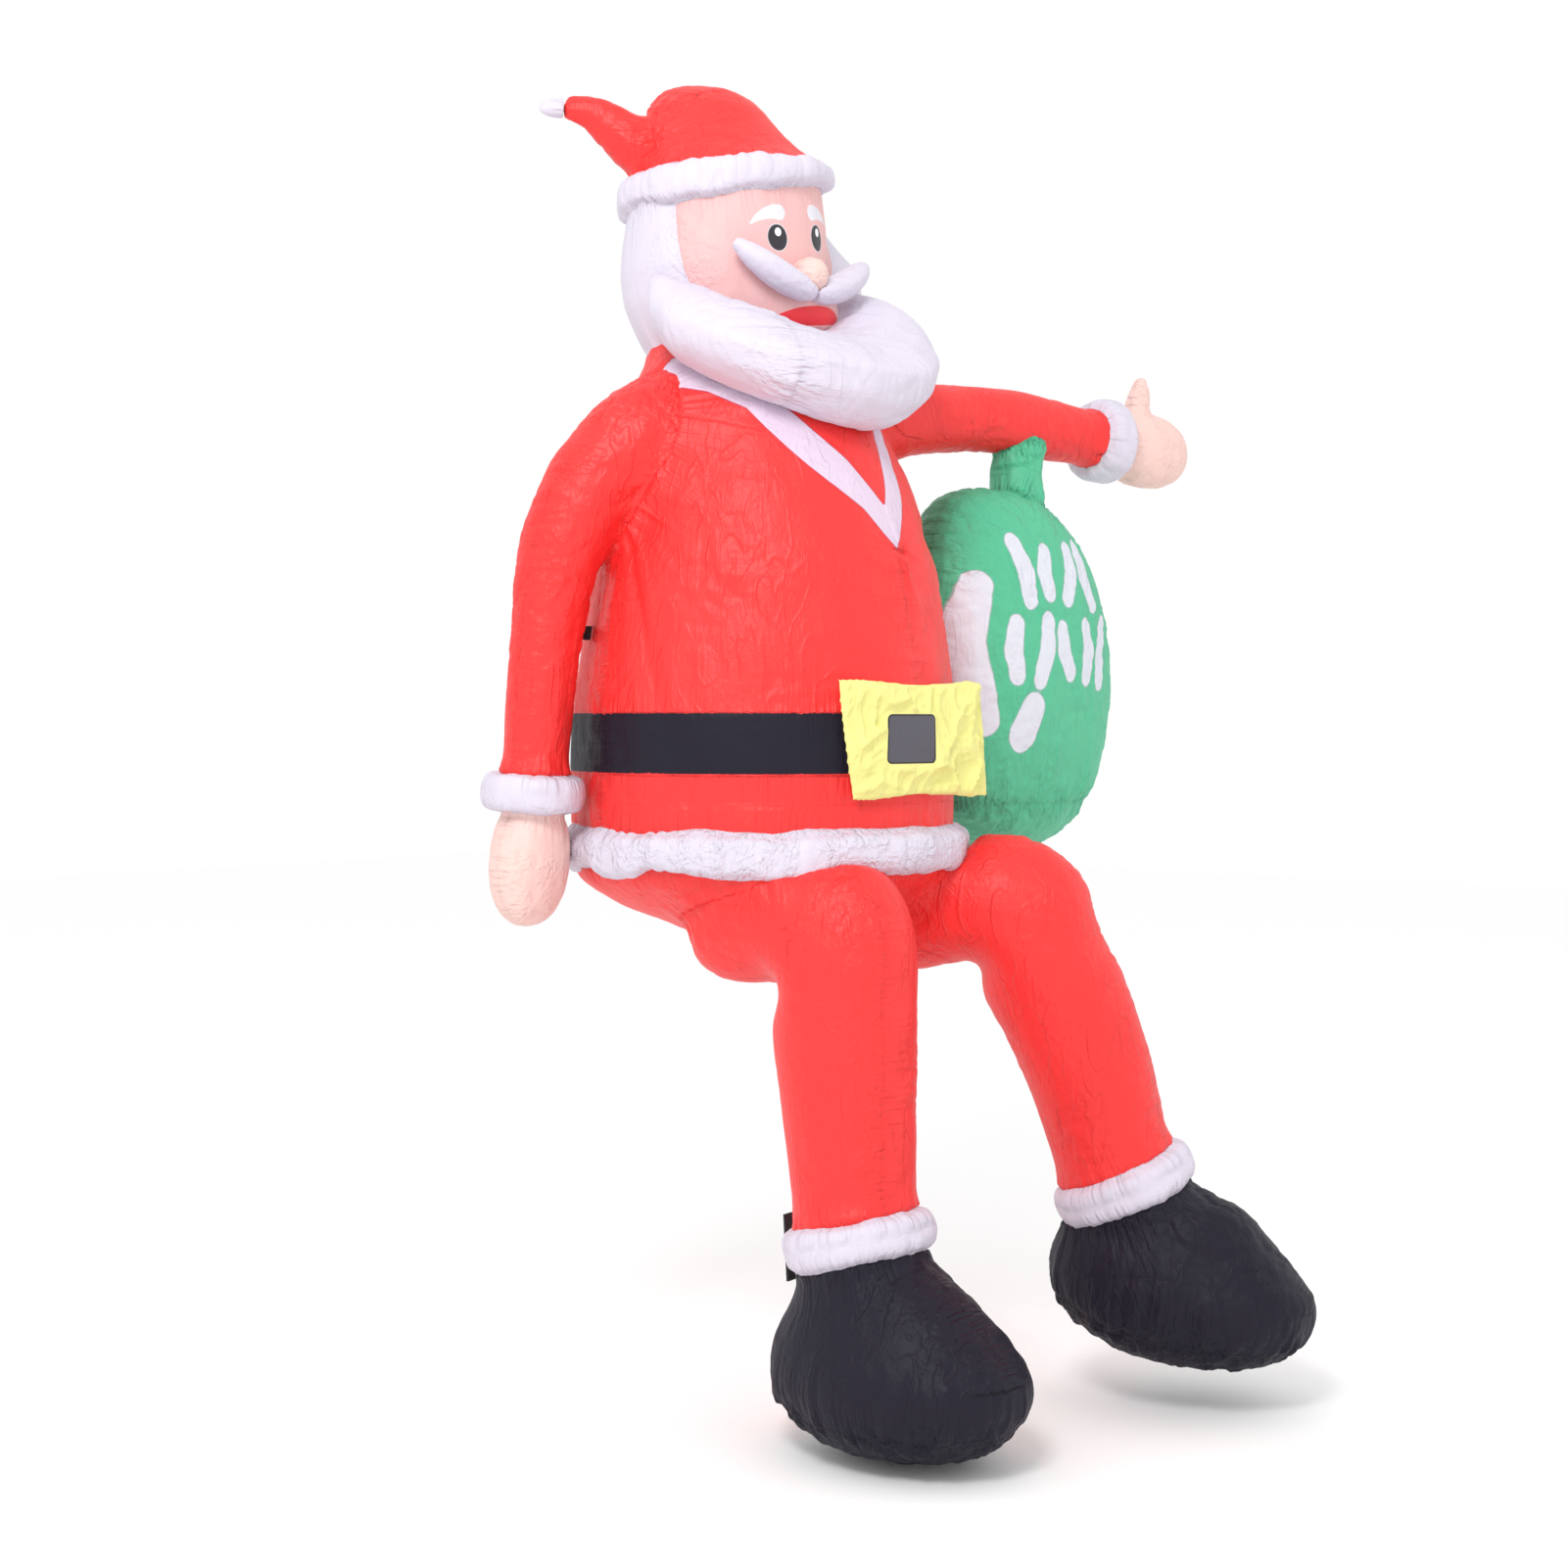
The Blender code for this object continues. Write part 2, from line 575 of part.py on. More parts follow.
def make_boot(name, ankle, down, toe, drop):
    """An egg-shaped boot that starts square to the shin and then runs the way that its toe points."""
    level_toe = (toe - down * toe.dot(down)).normalized()
    rings = [ring(ankle, -level_toe.cross(down), level_toe, ANKLE_RADIUS, ANKLE_RADIUS, ANKLE_RADIUS,
                  BOOT_SIDES)]
    side = toe.cross(Z_AXIS).normalized()
    up = side.cross(toe)
    middle = ankle + toe * (BOOT_LENGTH * BOOT_FORWARD) + down * (BOOT_HEIGHT * drop)
    stations = [(0.36, 0.70, 0.68, 0.68, 0.42), (0.17, 0.89, 0.91, 0.88, 0.78), (0.02, 0.99, 1.0, 0.99, 0.96),
                (-0.12, 1.0, 1.0, 1.0, 1.0), (-0.26, 0.92, 0.92, 0.91, 1.0), (-0.38, 0.76, 0.78, 0.74, 1.0),
                (-0.455, 0.53, 0.57, 0.50, 1.0), (-0.48, 0.26, 0.30, 0.22, 1.0)]
    for rise, wide, front, back, shift in stations:
        centre = ankle.lerp(middle, shift)
        centre += up * ((middle - centre).dot(up) + BOOT_HEIGHT * rise)
        ahead = (toe + level_toe).normalized() if len(rings) == 1 else toe
        rings.append(ring(centre, side, ahead, BOOT_WIDTH / 2 * wide, BOOT_LENGTH / 2 * front,
                          BOOT_LENGTH / 2 * back, BOOT_SIDES, 2.1))
    return add_solid(name, rings, "black")


# Sack

def make_sack(form):
    """The full sack beside the body, flatter than wide, sewn to the coat's side."""
    rings = []
    steps = 11
    for step in range(steps + 1):
        angle = math.pi * (0.045 + 0.91 * step / steps)
        size = math.sin(angle) ** 0.74
        up = -math.cos(angle) / math.cos(math.pi * 0.045)
        centre = SACK_CENTRE + Z_AXIS * (SACK_HALF_HEIGHT * up) - X_AXIS * (SACK_TILT * max(0.0, up) ** 2)
        rings.append(ring(centre, X_AXIS, Y_AXIS, SACK_HALF_WIDTH * size,
                          SACK_HALF_DEPTH * size, SACK_HALF_DEPTH * size, SACK_SIDES, 2.3))
    sack = add_solid("sack", rings, "green")
    trim(sack, form)
    return sack


def make_sack_neck(sack, sleeve, top):
    """The gathered neck between the sack and the arm that rests on it."""
    foot = Vector((top.x - 0.020, SACK_CENTRE.y, SACK_CENTRE.z + SACK_HALF_HEIGHT * 0.86))
    path = [(foot.x, foot.y, foot.z, SACK_NECK_RADIUS * 1.12),
            (foot.x, foot.y, foot.z + 0.055, SACK_NECK_RADIUS * 0.98),
            (foot.x, foot.y, foot.z + 0.090, SACK_NECK_RADIUS * 0.95),
            (top.x, top.y, top.z, SACK_NECK_RADIUS * 0.98)]
    neck = add_solid("sack_neck", tube_rings(path, X_AXIS, 14), "green")
    trim(neck, sack, sleeve)
    return neck


def webbing(name, centre, along, flat, length):
    """A straight piece of black webbing; flat is the way its broad face looks."""
    across = along.cross(flat)
    rings = []
    for end in (-0.5, 0.5):
        middle = centre + along * (length * end)
        rings.append([middle + across * (WEBBING_WIDTH / 2 * a) + flat * (WEBBING_THICKNESS / 2 * b)
                      for a, b in ((-1, -1), (1, -1), (1, 1), (-1, 1))])
    return add_solid(name, rings, "black")


# The figure's pose, as the middle lines of its limbs
RIGHT_ARM = [
    (-0.140, 0.195, 1.002, SHOULDER_TUBE_RADIUS),
    (-0.232, 0.212, 0.972, SHOULDER_TUBE_RADIUS * 0.96),
    (-0.316, 0.248, 0.896, SHOULDER_TUBE_RADIUS * 0.79),
    (-0.360, 0.272, 0.808, SHOULDER_TUBE_RADIUS * 0.72),
    (-0.384, 0.292, 0.690, WRIST_RADIUS * 1.18),
    (-0.396, 0.305, 0.545, WRIST_RADIUS * 1.05),
    (-0.403, 0.316, 0.379, WRIST_RADIUS),
]
LEFT_ARM = [
    (0.140, 0.160, 1.010, SHOULDER_TUBE_RADIUS),
    (0.245, 0.125, 1.034, SHOULDER_TUBE_RADIUS * 0.86),
    (0.370, 0.088, 1.054, SHOULDER_TUBE_RADIUS * 0.66),
    (0.520, 0.050, 1.068, WRIST_RADIUS * 1.10),
    (0.690, 0.008, 1.066, WRIST_RADIUS * 1.05),
    (0.852, -0.030, 1.052, WRIST_RADIUS * 1.02),
]
RIGHT_THUMB_TURN = 1.25
LEFT_THUMB_TURN = 0.12
RIGHT_HIP = Vector((-0.165, -0.006, 0.118))
RIGHT_KNEE = Vector((-0.165, -0.180, 0.116))
RIGHT_ANKLE = Vector((-0.165, -0.212, -0.380))
LEFT_HIP = Vector((0.160, -0.040, 0.128))
LEFT_KNEE = Vector((0.246, -0.268, 0.136))
LEFT_ANKLE = Vector((0.366, -0.402, -0.338))
RIGHT_KNEE_CAP = 0.30
LEFT_KNEE_CAP = 0.16
RIGHT_TOE = Vector((0.0, -1.0, 0.0))
LEFT_TOE = Vector((0.36, -0.93, -0.14)).normalized()
LEFT_SHIN_BOW = 0.018
RIGHT_CUFF_SLOPE = 0.18
LEFT_CUFF_SLOPE = 0.05
RIGHT_BOOT_DROP = 0.585
LEFT_BOOT_DROP = 0.50


def make_arm(side_name, path, form, palm, thumb_way, thumb_turn, cuff_radius, *hand_neighbours):
    """Sleeve, cuff and hand in a row along one arm."""
    path = smooth_path(path, 2)
    sleeve = make_sleeve("sleeve_" + side_name, path, form)
    wrist = Vector(path[-1][:3])
    along = (wrist - Vector(path[-2][:3])).normalized()
    side = (palm - along * palm.dot(along)).normalized()
    cuff_start = wrist + along * GAP
    limb_band("cuff_" + side_name, cuff_start, along, side, WRIST_RADIUS * 1.02, cuff_radius,
              WRIST_CUFF_LENGTH)
    hand_start = cuff_start + along * (WRIST_CUFF_LENGTH + GAP)
    spread = (thumb_way - along * thumb_way.dot(along)).normalized()
    hand = make_hand("hand_" + side_name, hand_start, along, along.cross(spread), spread, thumb_turn)
    trim(hand, *hand_neighbours)
    return sleeve


def make_leg(side_name, hip, knee, ankle, toe, cap, bow, cuff_slope, boot_drop, *neighbours):
    """Trouser leg, ankle cuff and boot in a row; the cuff's front edge is the higher."""
    shin = (ankle - knee).normalized()
    side = shin.cross(knee - hip).normalized()
    front = side.cross(shin)
    down = (shin + front * cuff_slope).normalized()
    leg = add_solid("leg_" + side_name, bent_leg_rings(hip, knee, ankle, cap, bow, side.cross(down)), "red")
    trim(leg, *neighbours)
    cuff_start = ankle + down * GAP
    cuff = limb_band("ankle_cuff_" + side_name, cuff_start, down, side, ANKLE_RADIUS * 1.02, ANKLE_CUFF_RADIUS,
                     ANKLE_CUFF_LENGTH)
    boot_start = cuff_start + down * (ANKLE_CUFF_LENGTH + GAP)
    boot = make_boot("boot_" + side_name, boot_start, down, toe, boot_drop)
    trim(boot, cuff)
    return cuff, boot


def main():
    """Build every chamber of the figure, each one cut back to those made before it."""
    _, form = make_coat()
    make_belt()
    hem = make_hem()
    make_buckle(form)

    head = make_head()
    hat = make_hat()
    make_hat_band(hat)
    nose = make_nose(head)
    moustaches = [make_moustache("moustache_right", 1, head, nose),
                  make_moustache("moustache_left", -1, head, nose)]

    right_sleeve = make_arm("right", RIGHT_ARM, form, Y_AXIS, X_AXIS, RIGHT_THUMB_TURN, WRIST_CUFF_RADIUS, hem)
    left_sleeve = make_arm("left", LEFT_ARM, form, Y_AXIS, Z_AXIS, LEFT_THUMB_TURN, WRIST_CUFF_RADIUS * 0.93)
    make_beard(head, form, right_sleeve, left_sleeve, *moustaches)

    right_foot = make_leg("right", RIGHT_HIP, RIGHT_KNEE, RIGHT_ANKLE, RIGHT_TOE, RIGHT_KNEE_CAP, 0.0,
                          RIGHT_CUFF_SLOPE, RIGHT_BOOT_DROP, form, hem)
    make_leg("left", LEFT_HIP, LEFT_KNEE, LEFT_ANKLE, LEFT_TOE, LEFT_KNEE_CAP, LEFT_SHIN_BOW,
             LEFT_CUFF_SLOPE, LEFT_BOOT_DROP, form, hem)

    sack = make_sack(form)
    make_sack_neck(sack, left_sleeve, SACK_NECK_TOP)

    outward = Vector((-math.sin(TAB_ANGLE), -math.cos(TAB_ANGLE), 0))
    tab_reach = CHEST_RADIUS + TAB_STAND
    tab = webbing("tether_tab", Vector((0, BELLY_Y, TAB_Z)) + outward * tab_reach, outward,
                  Z_AXIS.cross(outward), TAB_LENGTH)
    trim(tab, form)
    bpy.data.objects.remove(form, do_unlink=True)

    behind = Vector((-math.sin(STRAP_ANGLE), -math.cos(STRAP_ANGLE), 0))
    down = (RIGHT_ANKLE - RIGHT_KNEE).normalized()
    behind = (behind - down * behind.dot(down)).normalized()
    strap_middle = RIGHT_ANKLE + down * (GAP + ANKLE_CUFF_LENGTH / 2 + STRAP_DROP)
    strap = webbing("ankle_strap", strap_middle + behind * (ANKLE_CUFF_RADIUS + WEBBING_THICKNESS * 0.3), down,
                    behind, STRAP_LENGTH)
    trim(strap, *right_foot)


main()
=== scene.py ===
"""Inflatable Santa: the cloth, prints and seams of a seated blow-up figure.

Metres, Z up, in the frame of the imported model. The figure faces -Y and its left hand is on +X.
Each chamber's cloth is grown from its own solid: remeshed, softened, drawn in at its seams and
puckered, and the prints are outlines measured on the cloth itself.
"""
import math

import bmesh
import bpy
import numpy as np
from bpy.props import FloatProperty, FloatVectorProperty, IntProperty, PointerProperty
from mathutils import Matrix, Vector
from mathutils.bvhtree import BVHTree


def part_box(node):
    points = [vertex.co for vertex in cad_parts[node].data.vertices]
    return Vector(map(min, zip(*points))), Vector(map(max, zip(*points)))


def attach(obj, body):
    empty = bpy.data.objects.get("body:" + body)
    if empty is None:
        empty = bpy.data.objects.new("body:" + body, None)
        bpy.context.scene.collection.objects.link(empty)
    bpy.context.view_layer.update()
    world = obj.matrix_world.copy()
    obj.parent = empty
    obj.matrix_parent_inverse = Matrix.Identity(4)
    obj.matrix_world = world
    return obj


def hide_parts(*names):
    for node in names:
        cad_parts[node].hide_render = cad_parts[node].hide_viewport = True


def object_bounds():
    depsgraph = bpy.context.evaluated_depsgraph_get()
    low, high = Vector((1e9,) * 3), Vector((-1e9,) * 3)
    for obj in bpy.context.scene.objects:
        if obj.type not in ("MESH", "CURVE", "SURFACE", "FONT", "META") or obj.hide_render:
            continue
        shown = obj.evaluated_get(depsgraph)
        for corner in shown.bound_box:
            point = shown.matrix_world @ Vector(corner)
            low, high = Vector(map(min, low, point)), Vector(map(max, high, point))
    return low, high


bl_info = {
    "name": "Inflatable Santa",
    "version": (1, 0, 0),
    "blender": (4, 5, 0),
    "location": "View3D > Sidebar > Santa",
    "description": "Dresses the blow-up figure in its cloth, prints, webbing and studio",
    "category": "Object",
}

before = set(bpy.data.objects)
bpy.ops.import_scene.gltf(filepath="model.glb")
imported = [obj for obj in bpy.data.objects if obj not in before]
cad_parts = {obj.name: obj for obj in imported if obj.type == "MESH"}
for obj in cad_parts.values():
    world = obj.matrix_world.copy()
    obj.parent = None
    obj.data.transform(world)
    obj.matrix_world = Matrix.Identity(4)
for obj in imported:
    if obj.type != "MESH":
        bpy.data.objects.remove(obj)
CAD_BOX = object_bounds()


def node_middle(node):
    """The middle of a node's box."""
    low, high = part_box(node)
    return (low + high) / 2


def node_half_width(node):
    """Half of a node's box from side to side."""
    low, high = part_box(node)
    return (high.x - low.x) / 2


COAT_AXIS_Y = node_middle("belt").y
COAT_RADIUS = node_half_width("belt")
HEAD_AXIS_Y = node_middle("head").y
HEAD_RADIUS = node_half_width("head")
BELT_BOTTOM, BELT_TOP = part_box("belt")[0].z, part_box("belt")[1].z
FLOOR_GAP = 0.012         # room between the boots and the floor
FLOOR_Z = CAD_BOX[0].z - FLOOR_GAP
SIDE_SEAM = math.radians(104)

# The collar's edges on the chest, as rows of degrees to the figure's right and height
COLLAR_OUTER = ((-107, 1.084), (-60, 1.080), (-28, 1.003), (-12.5, 0.850), (0, 0.771), (12, 0.842),
                (32, 0.912), (57, 1.016), (76, 1.048), (107, 1.072))
COLLAR_INNER = ((-102, 1.120), (-40, 1.115), (-20, 1.030), (-9, 0.940), (0, 0.850), (14, 0.930),
                (36, 1.011), (60, 1.075), (102, 1.120))
COLLAR_END = math.radians(106)

# The face panel's edge on the head, as rows of height and degrees from the front
FACE_EDGE = ((1.20, 62), (1.27, 72), (1.33, 76.5), (1.40, 80))
FAR_HAIR = 20.0           # degrees that the hair comes further round on the far side

# Half a brow, as rows of distance out from the nose line, height over the face's middle and half width
BROW = ((0.109, 0.071, 0.0012), (0.092, 0.082, 0.0065), (0.074, 0.0885, 0.0105), (0.056, 0.0910, 0.0132),
        (0.046, 0.0895, 0.0145))

# The outside seams of the sleeves: the right one's Y and its outer side by height, the left one's height by X
RIGHT_SEAM = ((0.38, 0.316), (0.55, 0.305), (0.69, 0.292), (0.81, 0.272), (0.90, 0.248), (0.97, 0.212))
RIGHT_OUTSIDE = ((0.38, -0.40), (0.81, -0.36), (0.97, -0.20))
LEFT_SEAM = ((0.2, 1.03), (0.52, 1.068), (0.85, 1.052))

# The sack's tall stroke and its foot, and its rows of short strokes: level, height, count and start
SACK_TALL = (((-0.215, 0.110, 0.028), (-0.240, 0.000, 0.032), (-0.205, -0.150, 0.030)),
             ((-0.095, -0.125, 0.032), (-0.115, -0.175, 0.036)))
SACK_ROWS = ((0.140, 0.110, 4, -0.115), (-0.012, 0.115, 5, -0.140))
STROKE_GAP = 0.074

SIDES = ("right", "left")


# Settings that a user would change

def length(name, about, default):
    """A length among the settings."""
    return FloatProperty(name=name, description=about, unit="LENGTH", default=default)


def angle(name, about, default):
    """An angle among the settings."""
    return FloatProperty(name=name, description=about, unit="ROTATION", default=default)


def dye(name, about, default):
    """A colour among the settings."""
    return FloatVectorProperty(name=name, description=about, subtype="COLOR", default=default)


class ClothColours(bpy.types.PropertyGroup):
    """The dyes of the figure's cloth, as linear colours."""
    red: dye("Red", "Coat, hat and trousers", (0.84, 0.030, 0.028))
    white: dye("White", "Fur trims, hair and beard", (0.655, 0.610, 0.710))
    skin: dye("Skin", "Face cloth", (0.78, 0.450, 0.440))
    hand: dye("Hand", "Mitten cloth", (0.83, 0.570, 0.520))
    green: dye("Green", "Sack cloth", (0.080, 0.480, 0.270))
    yellow: dye("Yellow", "Buckle cloth", (0.80, 0.765, 0.260))
    black: dye("Black", "Boots and belt", (0.010, 0.008, 0.018))
    collar: dye("Collar", "Printed collar", (0.68, 0.55, 0.68))
    lips: dye("Lips", "Printed mouth", (0.80, 0.035, 0.045))


class ClothSizes(bpy.types.PropertyGroup):
    """How finely the cloth is made and how it gathers at its seams."""
    voxel: length("Voxel", "Grain of the coat's cloth", 0.0062)
    fine_voxel: length("Fine voxel", "Grain of the head and beard", 0.0042)
    seam_dip: length("Seam dip", "How far cloth is drawn in at a seam", 0.0050)
    seam_roll: length("Seam roll", "How far from a seam the cloth is drawn in", 0.011)
    pucker: length("Pucker", "Depth of the gathers at a seam", 0.0026)
    pucker_gap: length("Pucker gap", "Room between gathers", 0.020)
    pucker_reach: length("Pucker reach", "Length of the gathers", 0.055)
    seed: IntProperty(name="Seed", description="Picks the layout of the creases", default=7)


class FacePrint(bpy.types.PropertyGroup):
    """Where the face is printed, on the head's cloth laid flat about its middle."""
    middle: length("Middle", "Height of the face's middle", 1.30)
    tilt: angle("Tilt", "How far the face leans", math.radians(7.2))
    eye_out: length("Eye out", "Eye's distance from the nose line", 0.0555)
    eye_up: length("Eye up", "Eye's height over the middle", 0.0443)
    eye_wide: length("Eye half width", "Half the eye's width", 0.0205)
    eye_tall: length("Eye half height", "Half the eye's height", 0.0235)
    mouth_wide: length("Mouth half width", "Half the mouth's width", 0.080)
    mouth_tall: length("Mouth height", "Mouth's height over its flat edge", 0.034)
    mouth_level: length("Mouth level", "Height of the mouth's flat edge", 1.192)
    mouth_across: length("Mouth across", "Mouth's middle, to the figure's right", -0.002)
    mouth_lean: FloatProperty(name="Mouth lean", description="Rise of the flat edge to the figure's left",
                              default=0.20)


class StudioSizes(bpy.types.PropertyGroup):
    """Camera and light."""
    azimuth: angle("Azimuth", "Camera's turn to the figure's right", math.radians(50.0))
    distance: length("Distance", "Camera to the figure's upright", 4.50)
    height: length("Height", "Camera over the seat", 0.473)
    focus_pixels: FloatProperty(name="Focal length", description="In pixels of a 1601 pixel frame",
                                default=2500.0)
    daylight: FloatProperty(name="Daylight", description="Strength of the white surroundings", default=1.0)


# Cloth as arrays

HASH_STEPS = (374761393, 668265263, 1440662683)   # whole numbers that scatter the cell corners' values
HASH_SEED = 1013904223
HASH_MIX = 1274126177
HASH_BITS = 0xFFFFF

SEAM_REACH = 0.16         # how far from a seam its gathers can run
SEAM_LIP = 0.014          # how far each cloth is tucked past its seam
SEAM_EASE = 0.006         # where the gathers start to rise beside a seam
TUCK = 0.9                # how steeply the lip turns in under its neighbour
EASE_WIDTH = 0.025        # over which two seams' fine gathers give way to each other
KEPT_AROUND = 0.050       # how much of a neighbour takes part in a seam's shape
FILLET_WIDTH = 0.060      # round a join, over which it is smoothed
TRIM_FULLNESS = 0.0030    # how far the fur trims stand out past their solids
WELD = 1e-5               # points closer than this are one

# Folds beside a seam: the large and small ones' depths, how much finer the small ones are, and their mean
LARGE_FOLD, SMALL_FOLD, SMALL_FINER, FOLD_MEAN = 2.0, 0.7, 1.7, 0.8
# A gather's length: its least share, how much it varies, and over how many folds
REACH_LEAST, REACH_SPREAD, REACH_FOLDS = 0.35, 1.3, 2.3

# Creases: how far and over what length they wander, the size of their patches, and the finer set's share
WANDER, WANDER_SIZE, PATCH_SIZE = 0.03, 0.11, 0.13
CREASE_FINER, FINE_SHARE = 2.1, 0.5


def lattice(points, seed):
    """Smooth noise from -1 to 1 at each point, one random value to a unit cell corner."""
    cell = np.floor(points).astype(np.int64)
    part = points - cell
    part = part * part * (3.0 - 2.0 * part)
    total = np.zeros(len(points))
    for corner in range(8):
        step = np.array([corner & 1, corner >> 1 & 1, corner >> 2 & 1])
        at = cell + step
        mixed = sum(at[:, axis] * HASH_STEPS[axis] for axis in range(3)) + seed * HASH_SEED
        mixed = (mixed ^ (mixed >> 13)) * HASH_MIX
        value = ((mixed ^ (mixed >> 16)) & HASH_BITS) / (HASH_BITS / 2) - 1.0
        share = np.prod(np.where(step == 1, part, 1.0 - part), axis=1)
        total += value * share
    return total


def bump(value, middle, width):
    """1 at the middle and falling off smoothly over the width."""
    return np.exp(-((value - middle) / width) ** 2)


def smoothstep(low, high, value):
    """0 at low, 1 at high, and smooth between."""
    share = np.clip((value - low) / (high - low), 0.0, 1.0)
    return share * share * (3.0 - 2.0 * share)


class Cloth:
    """One chamber's cloth as arrays of points, faces and edges, with values kept at its points.

    Where the chamber is sewn to others it is grown together with them, smoothed over the join by
    fillet rounds, and parted from them again just past the seam.
    """

    def __init__(self, nodes, voxel, passes, sewn=(), fillet=0):
        self.nodes = nodes
        self.points, self.faces = remeshed(tuple(nodes) + tuple(sewn), voxel)
        self.values = {}
        if sewn:
            self.keep(away_from(self.points, node_tree(*nodes))[0] < KEPT_AROUND)
        self.join_up()
        self.points = self.softened(self.points, passes)
        if fillet:
            own, _ = away_from(self.points, node_tree(*nodes))
            other, _ = away_from(self.points, node_tree(*sewn))
            near = np.exp(-((own + other) / FILLET_WIDTH) ** 2)[:, None]
            for _ in range(fillet):
                self.points = self.points + near * (self.averaged(self.points, 1) - self.points)
        self.over = np.full(len(self.points), -SEAM_REACH)
        self.second = None
        if sewn:
            own, _ = away_from(self.points, node_tree(*nodes))
            other, _ = away_from(self.points, node_tree(*sewn))
            self.over = own - other
            self.keep(self.over < SEAM_LIP)
            self.join_up()

    def keep(self, chosen):
        """Drop every point that isn't chosen, with the faces that use it."""
        faces = self.faces[chosen[self.faces].all(axis=1)]
        used = np.zeros(len(self.points), bool)
        used[faces.ravel()] = True
        place = np.cumsum(used) - 1
        self.faces = place[faces]
        self.points = self.points[used]
        if hasattr(self, "over"):
            self.over = self.over[used]

    def join_up(self):
        """List each edge once, and how many edges meet at each point."""
        pairs = np.concatenate([self.faces[:, (side, (side + 1) % 4)] for side in range(4)])
        pairs.sort(axis=1)
        codes = np.unique(pairs[:, 0].astype(np.int64) * len(self.points) + pairs[:, 1])
        self.edges = np.stack([codes // len(self.points), codes % len(self.points)], axis=1)
        self.degree = np.bincount(self.edges.ravel(), minlength=len(self.points)).astype(float)

    def averaged(self, field, passes):
        """A field spread over the cloth by so many rounds of averaging with its neighbours."""
        first, second = self.edges.T
        count = len(field)
        for _ in range(passes):
            total = np.empty_like(field)
            for axis in range(field.shape[1]):
                column = field[:, axis]
                total[:, axis] = (np.bincount(first, column[second], count)
                                  + np.bincount(second, column[first], count))
            field = 0.5 * field + 0.5 * total / self.degree[:, None]
        return field

    def softened(self, field, passes):
        """The field without its facets, and without the shrinking of plain averaging."""
        once = self.averaged(field, passes)
        return once + self.averaged(field - once, passes)

    def normals(self):
        """The outward way at each point."""
        a, b, c, d = (self.points[self.faces[:, corner]] for corner in range(4))
        flat = np.cross(c - a, d - b)
        total = np.zeros_like(self.points)
        for corner in range(4):
            for axis in range(3):
                total[:, axis] += np.bincount(self.faces[:, corner], flat[:, axis], len(total))
        length = np.linalg.norm(total, axis=1, keepdims=True)
        return total / np.maximum(length, 1e-12)

    def push(self, amount):
        """Move each point along its own normal."""
        self.points = self.points + self.normals() * np.asarray(amount)[:, None]

    def tree(self):
        """A search tree of the cloth as it lies now."""
        return BVHTree.FromPolygons(self.points.tolist(), self.faces.tolist())

    def make_mesh(self, name):
        """The arrays as a smooth mesh that carries the kept values."""
        mesh = bpy.data.meshes.new(name)
        count = len(self.faces)
        mesh.vertices.add(len(self.points))
        mesh.vertices.foreach_set("co", self.points.astype(np.float32).ravel())
        mesh.loops.add(count * 4)
        mesh.loops.foreach_set("vertex_index", self.faces.astype(np.int32).ravel())
        mesh.polygons.add(count)
        mesh.polygons.foreach_set("loop_start", np.arange(0, count * 4, 4, dtype=np.int32))
        write_values(mesh, self.values)
        mesh.update(calc_edges=True)
        mesh.shade_smooth()
        return mesh


def write_values(mesh, values):
    """Keep named values at a mesh's points."""
    for field, rows in values.items():
        kind, slot = ("FLOAT", "value") if rows.ndim == 1 else ("FLOAT_VECTOR", "vector")
        kept = mesh.attributes.new(field, kind, "POINT")
        kept.data.foreach_set(slot, rows.astype(np.float32).ravel())


def linked(name, data):
    """A new object in the scene."""
    made = bpy.data.objects.new(name, data)
    bpy.context.scene.collection.objects.link(made)
    return made


def read(items, name, width, kind):
    """A collection's attribute as rows."""
    values = np.empty(len(items) * width, np.float32 if kind is float else np.int32)
    items.foreach_get(name, values)
    return values.reshape(-1, width).astype(kind)


def remeshed(nodes, voxel):
    """The nodes' solids as the points and four-sided faces of one even skin."""
    joined = bmesh.new()
    for node in nodes:
        joined.from_mesh(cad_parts[node].data)
    bmesh.ops.remove_doubles(joined, verts=joined.verts, dist=WELD)
    mesh = bpy.data.meshes.new("grown")
    joined.to_mesh(mesh)
    joined.free()
    holder = linked("grown", mesh)
    modifier = holder.modifiers.new("Remesh", "REMESH")
    modifier.mode = "VOXEL"
    modifier.voxel_size = voxel
    bpy.context.view_layer.update()
    grown = holder.evaluated_get(bpy.context.evaluated_depsgraph_get())
    made = bpy.data.meshes.new_from_object(grown)
    points = read(made.vertices, "co", 3, float)
    faces = read(made.loops, "vertex_index", 1, int).reshape(-1, 4)
    bpy.data.objects.remove(holder, do_unlink=True)
    bpy.data.meshes.remove(mesh)
    bpy.data.meshes.remove(made)
    return points, faces


def node_tree(*nodes):
    """A search tree of some nodes' solids."""
    points, faces = [], []
    for node in nodes:
        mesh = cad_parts[node].data
        start = len(points)
        points.extend(vertex.co[:] for vertex in mesh.vertices)
        faces.extend([start + index for index in face.vertices] for face in mesh.polygons)
    return BVHTree.FromPolygons(points, faces)


def away_from(points, tree):
    """How far each point is from a search tree's surface, and the nearest point of it."""
    away = np.full(len(points), SEAM_REACH)
    nearest = points.copy()
    for index, point in enumerate(points.tolist()):
        found, _, _, distance = tree.find_nearest(point, SEAM_REACH)
        if found is not None:
            away[index] = distance
            nearest[index] = found
    return away, nearest


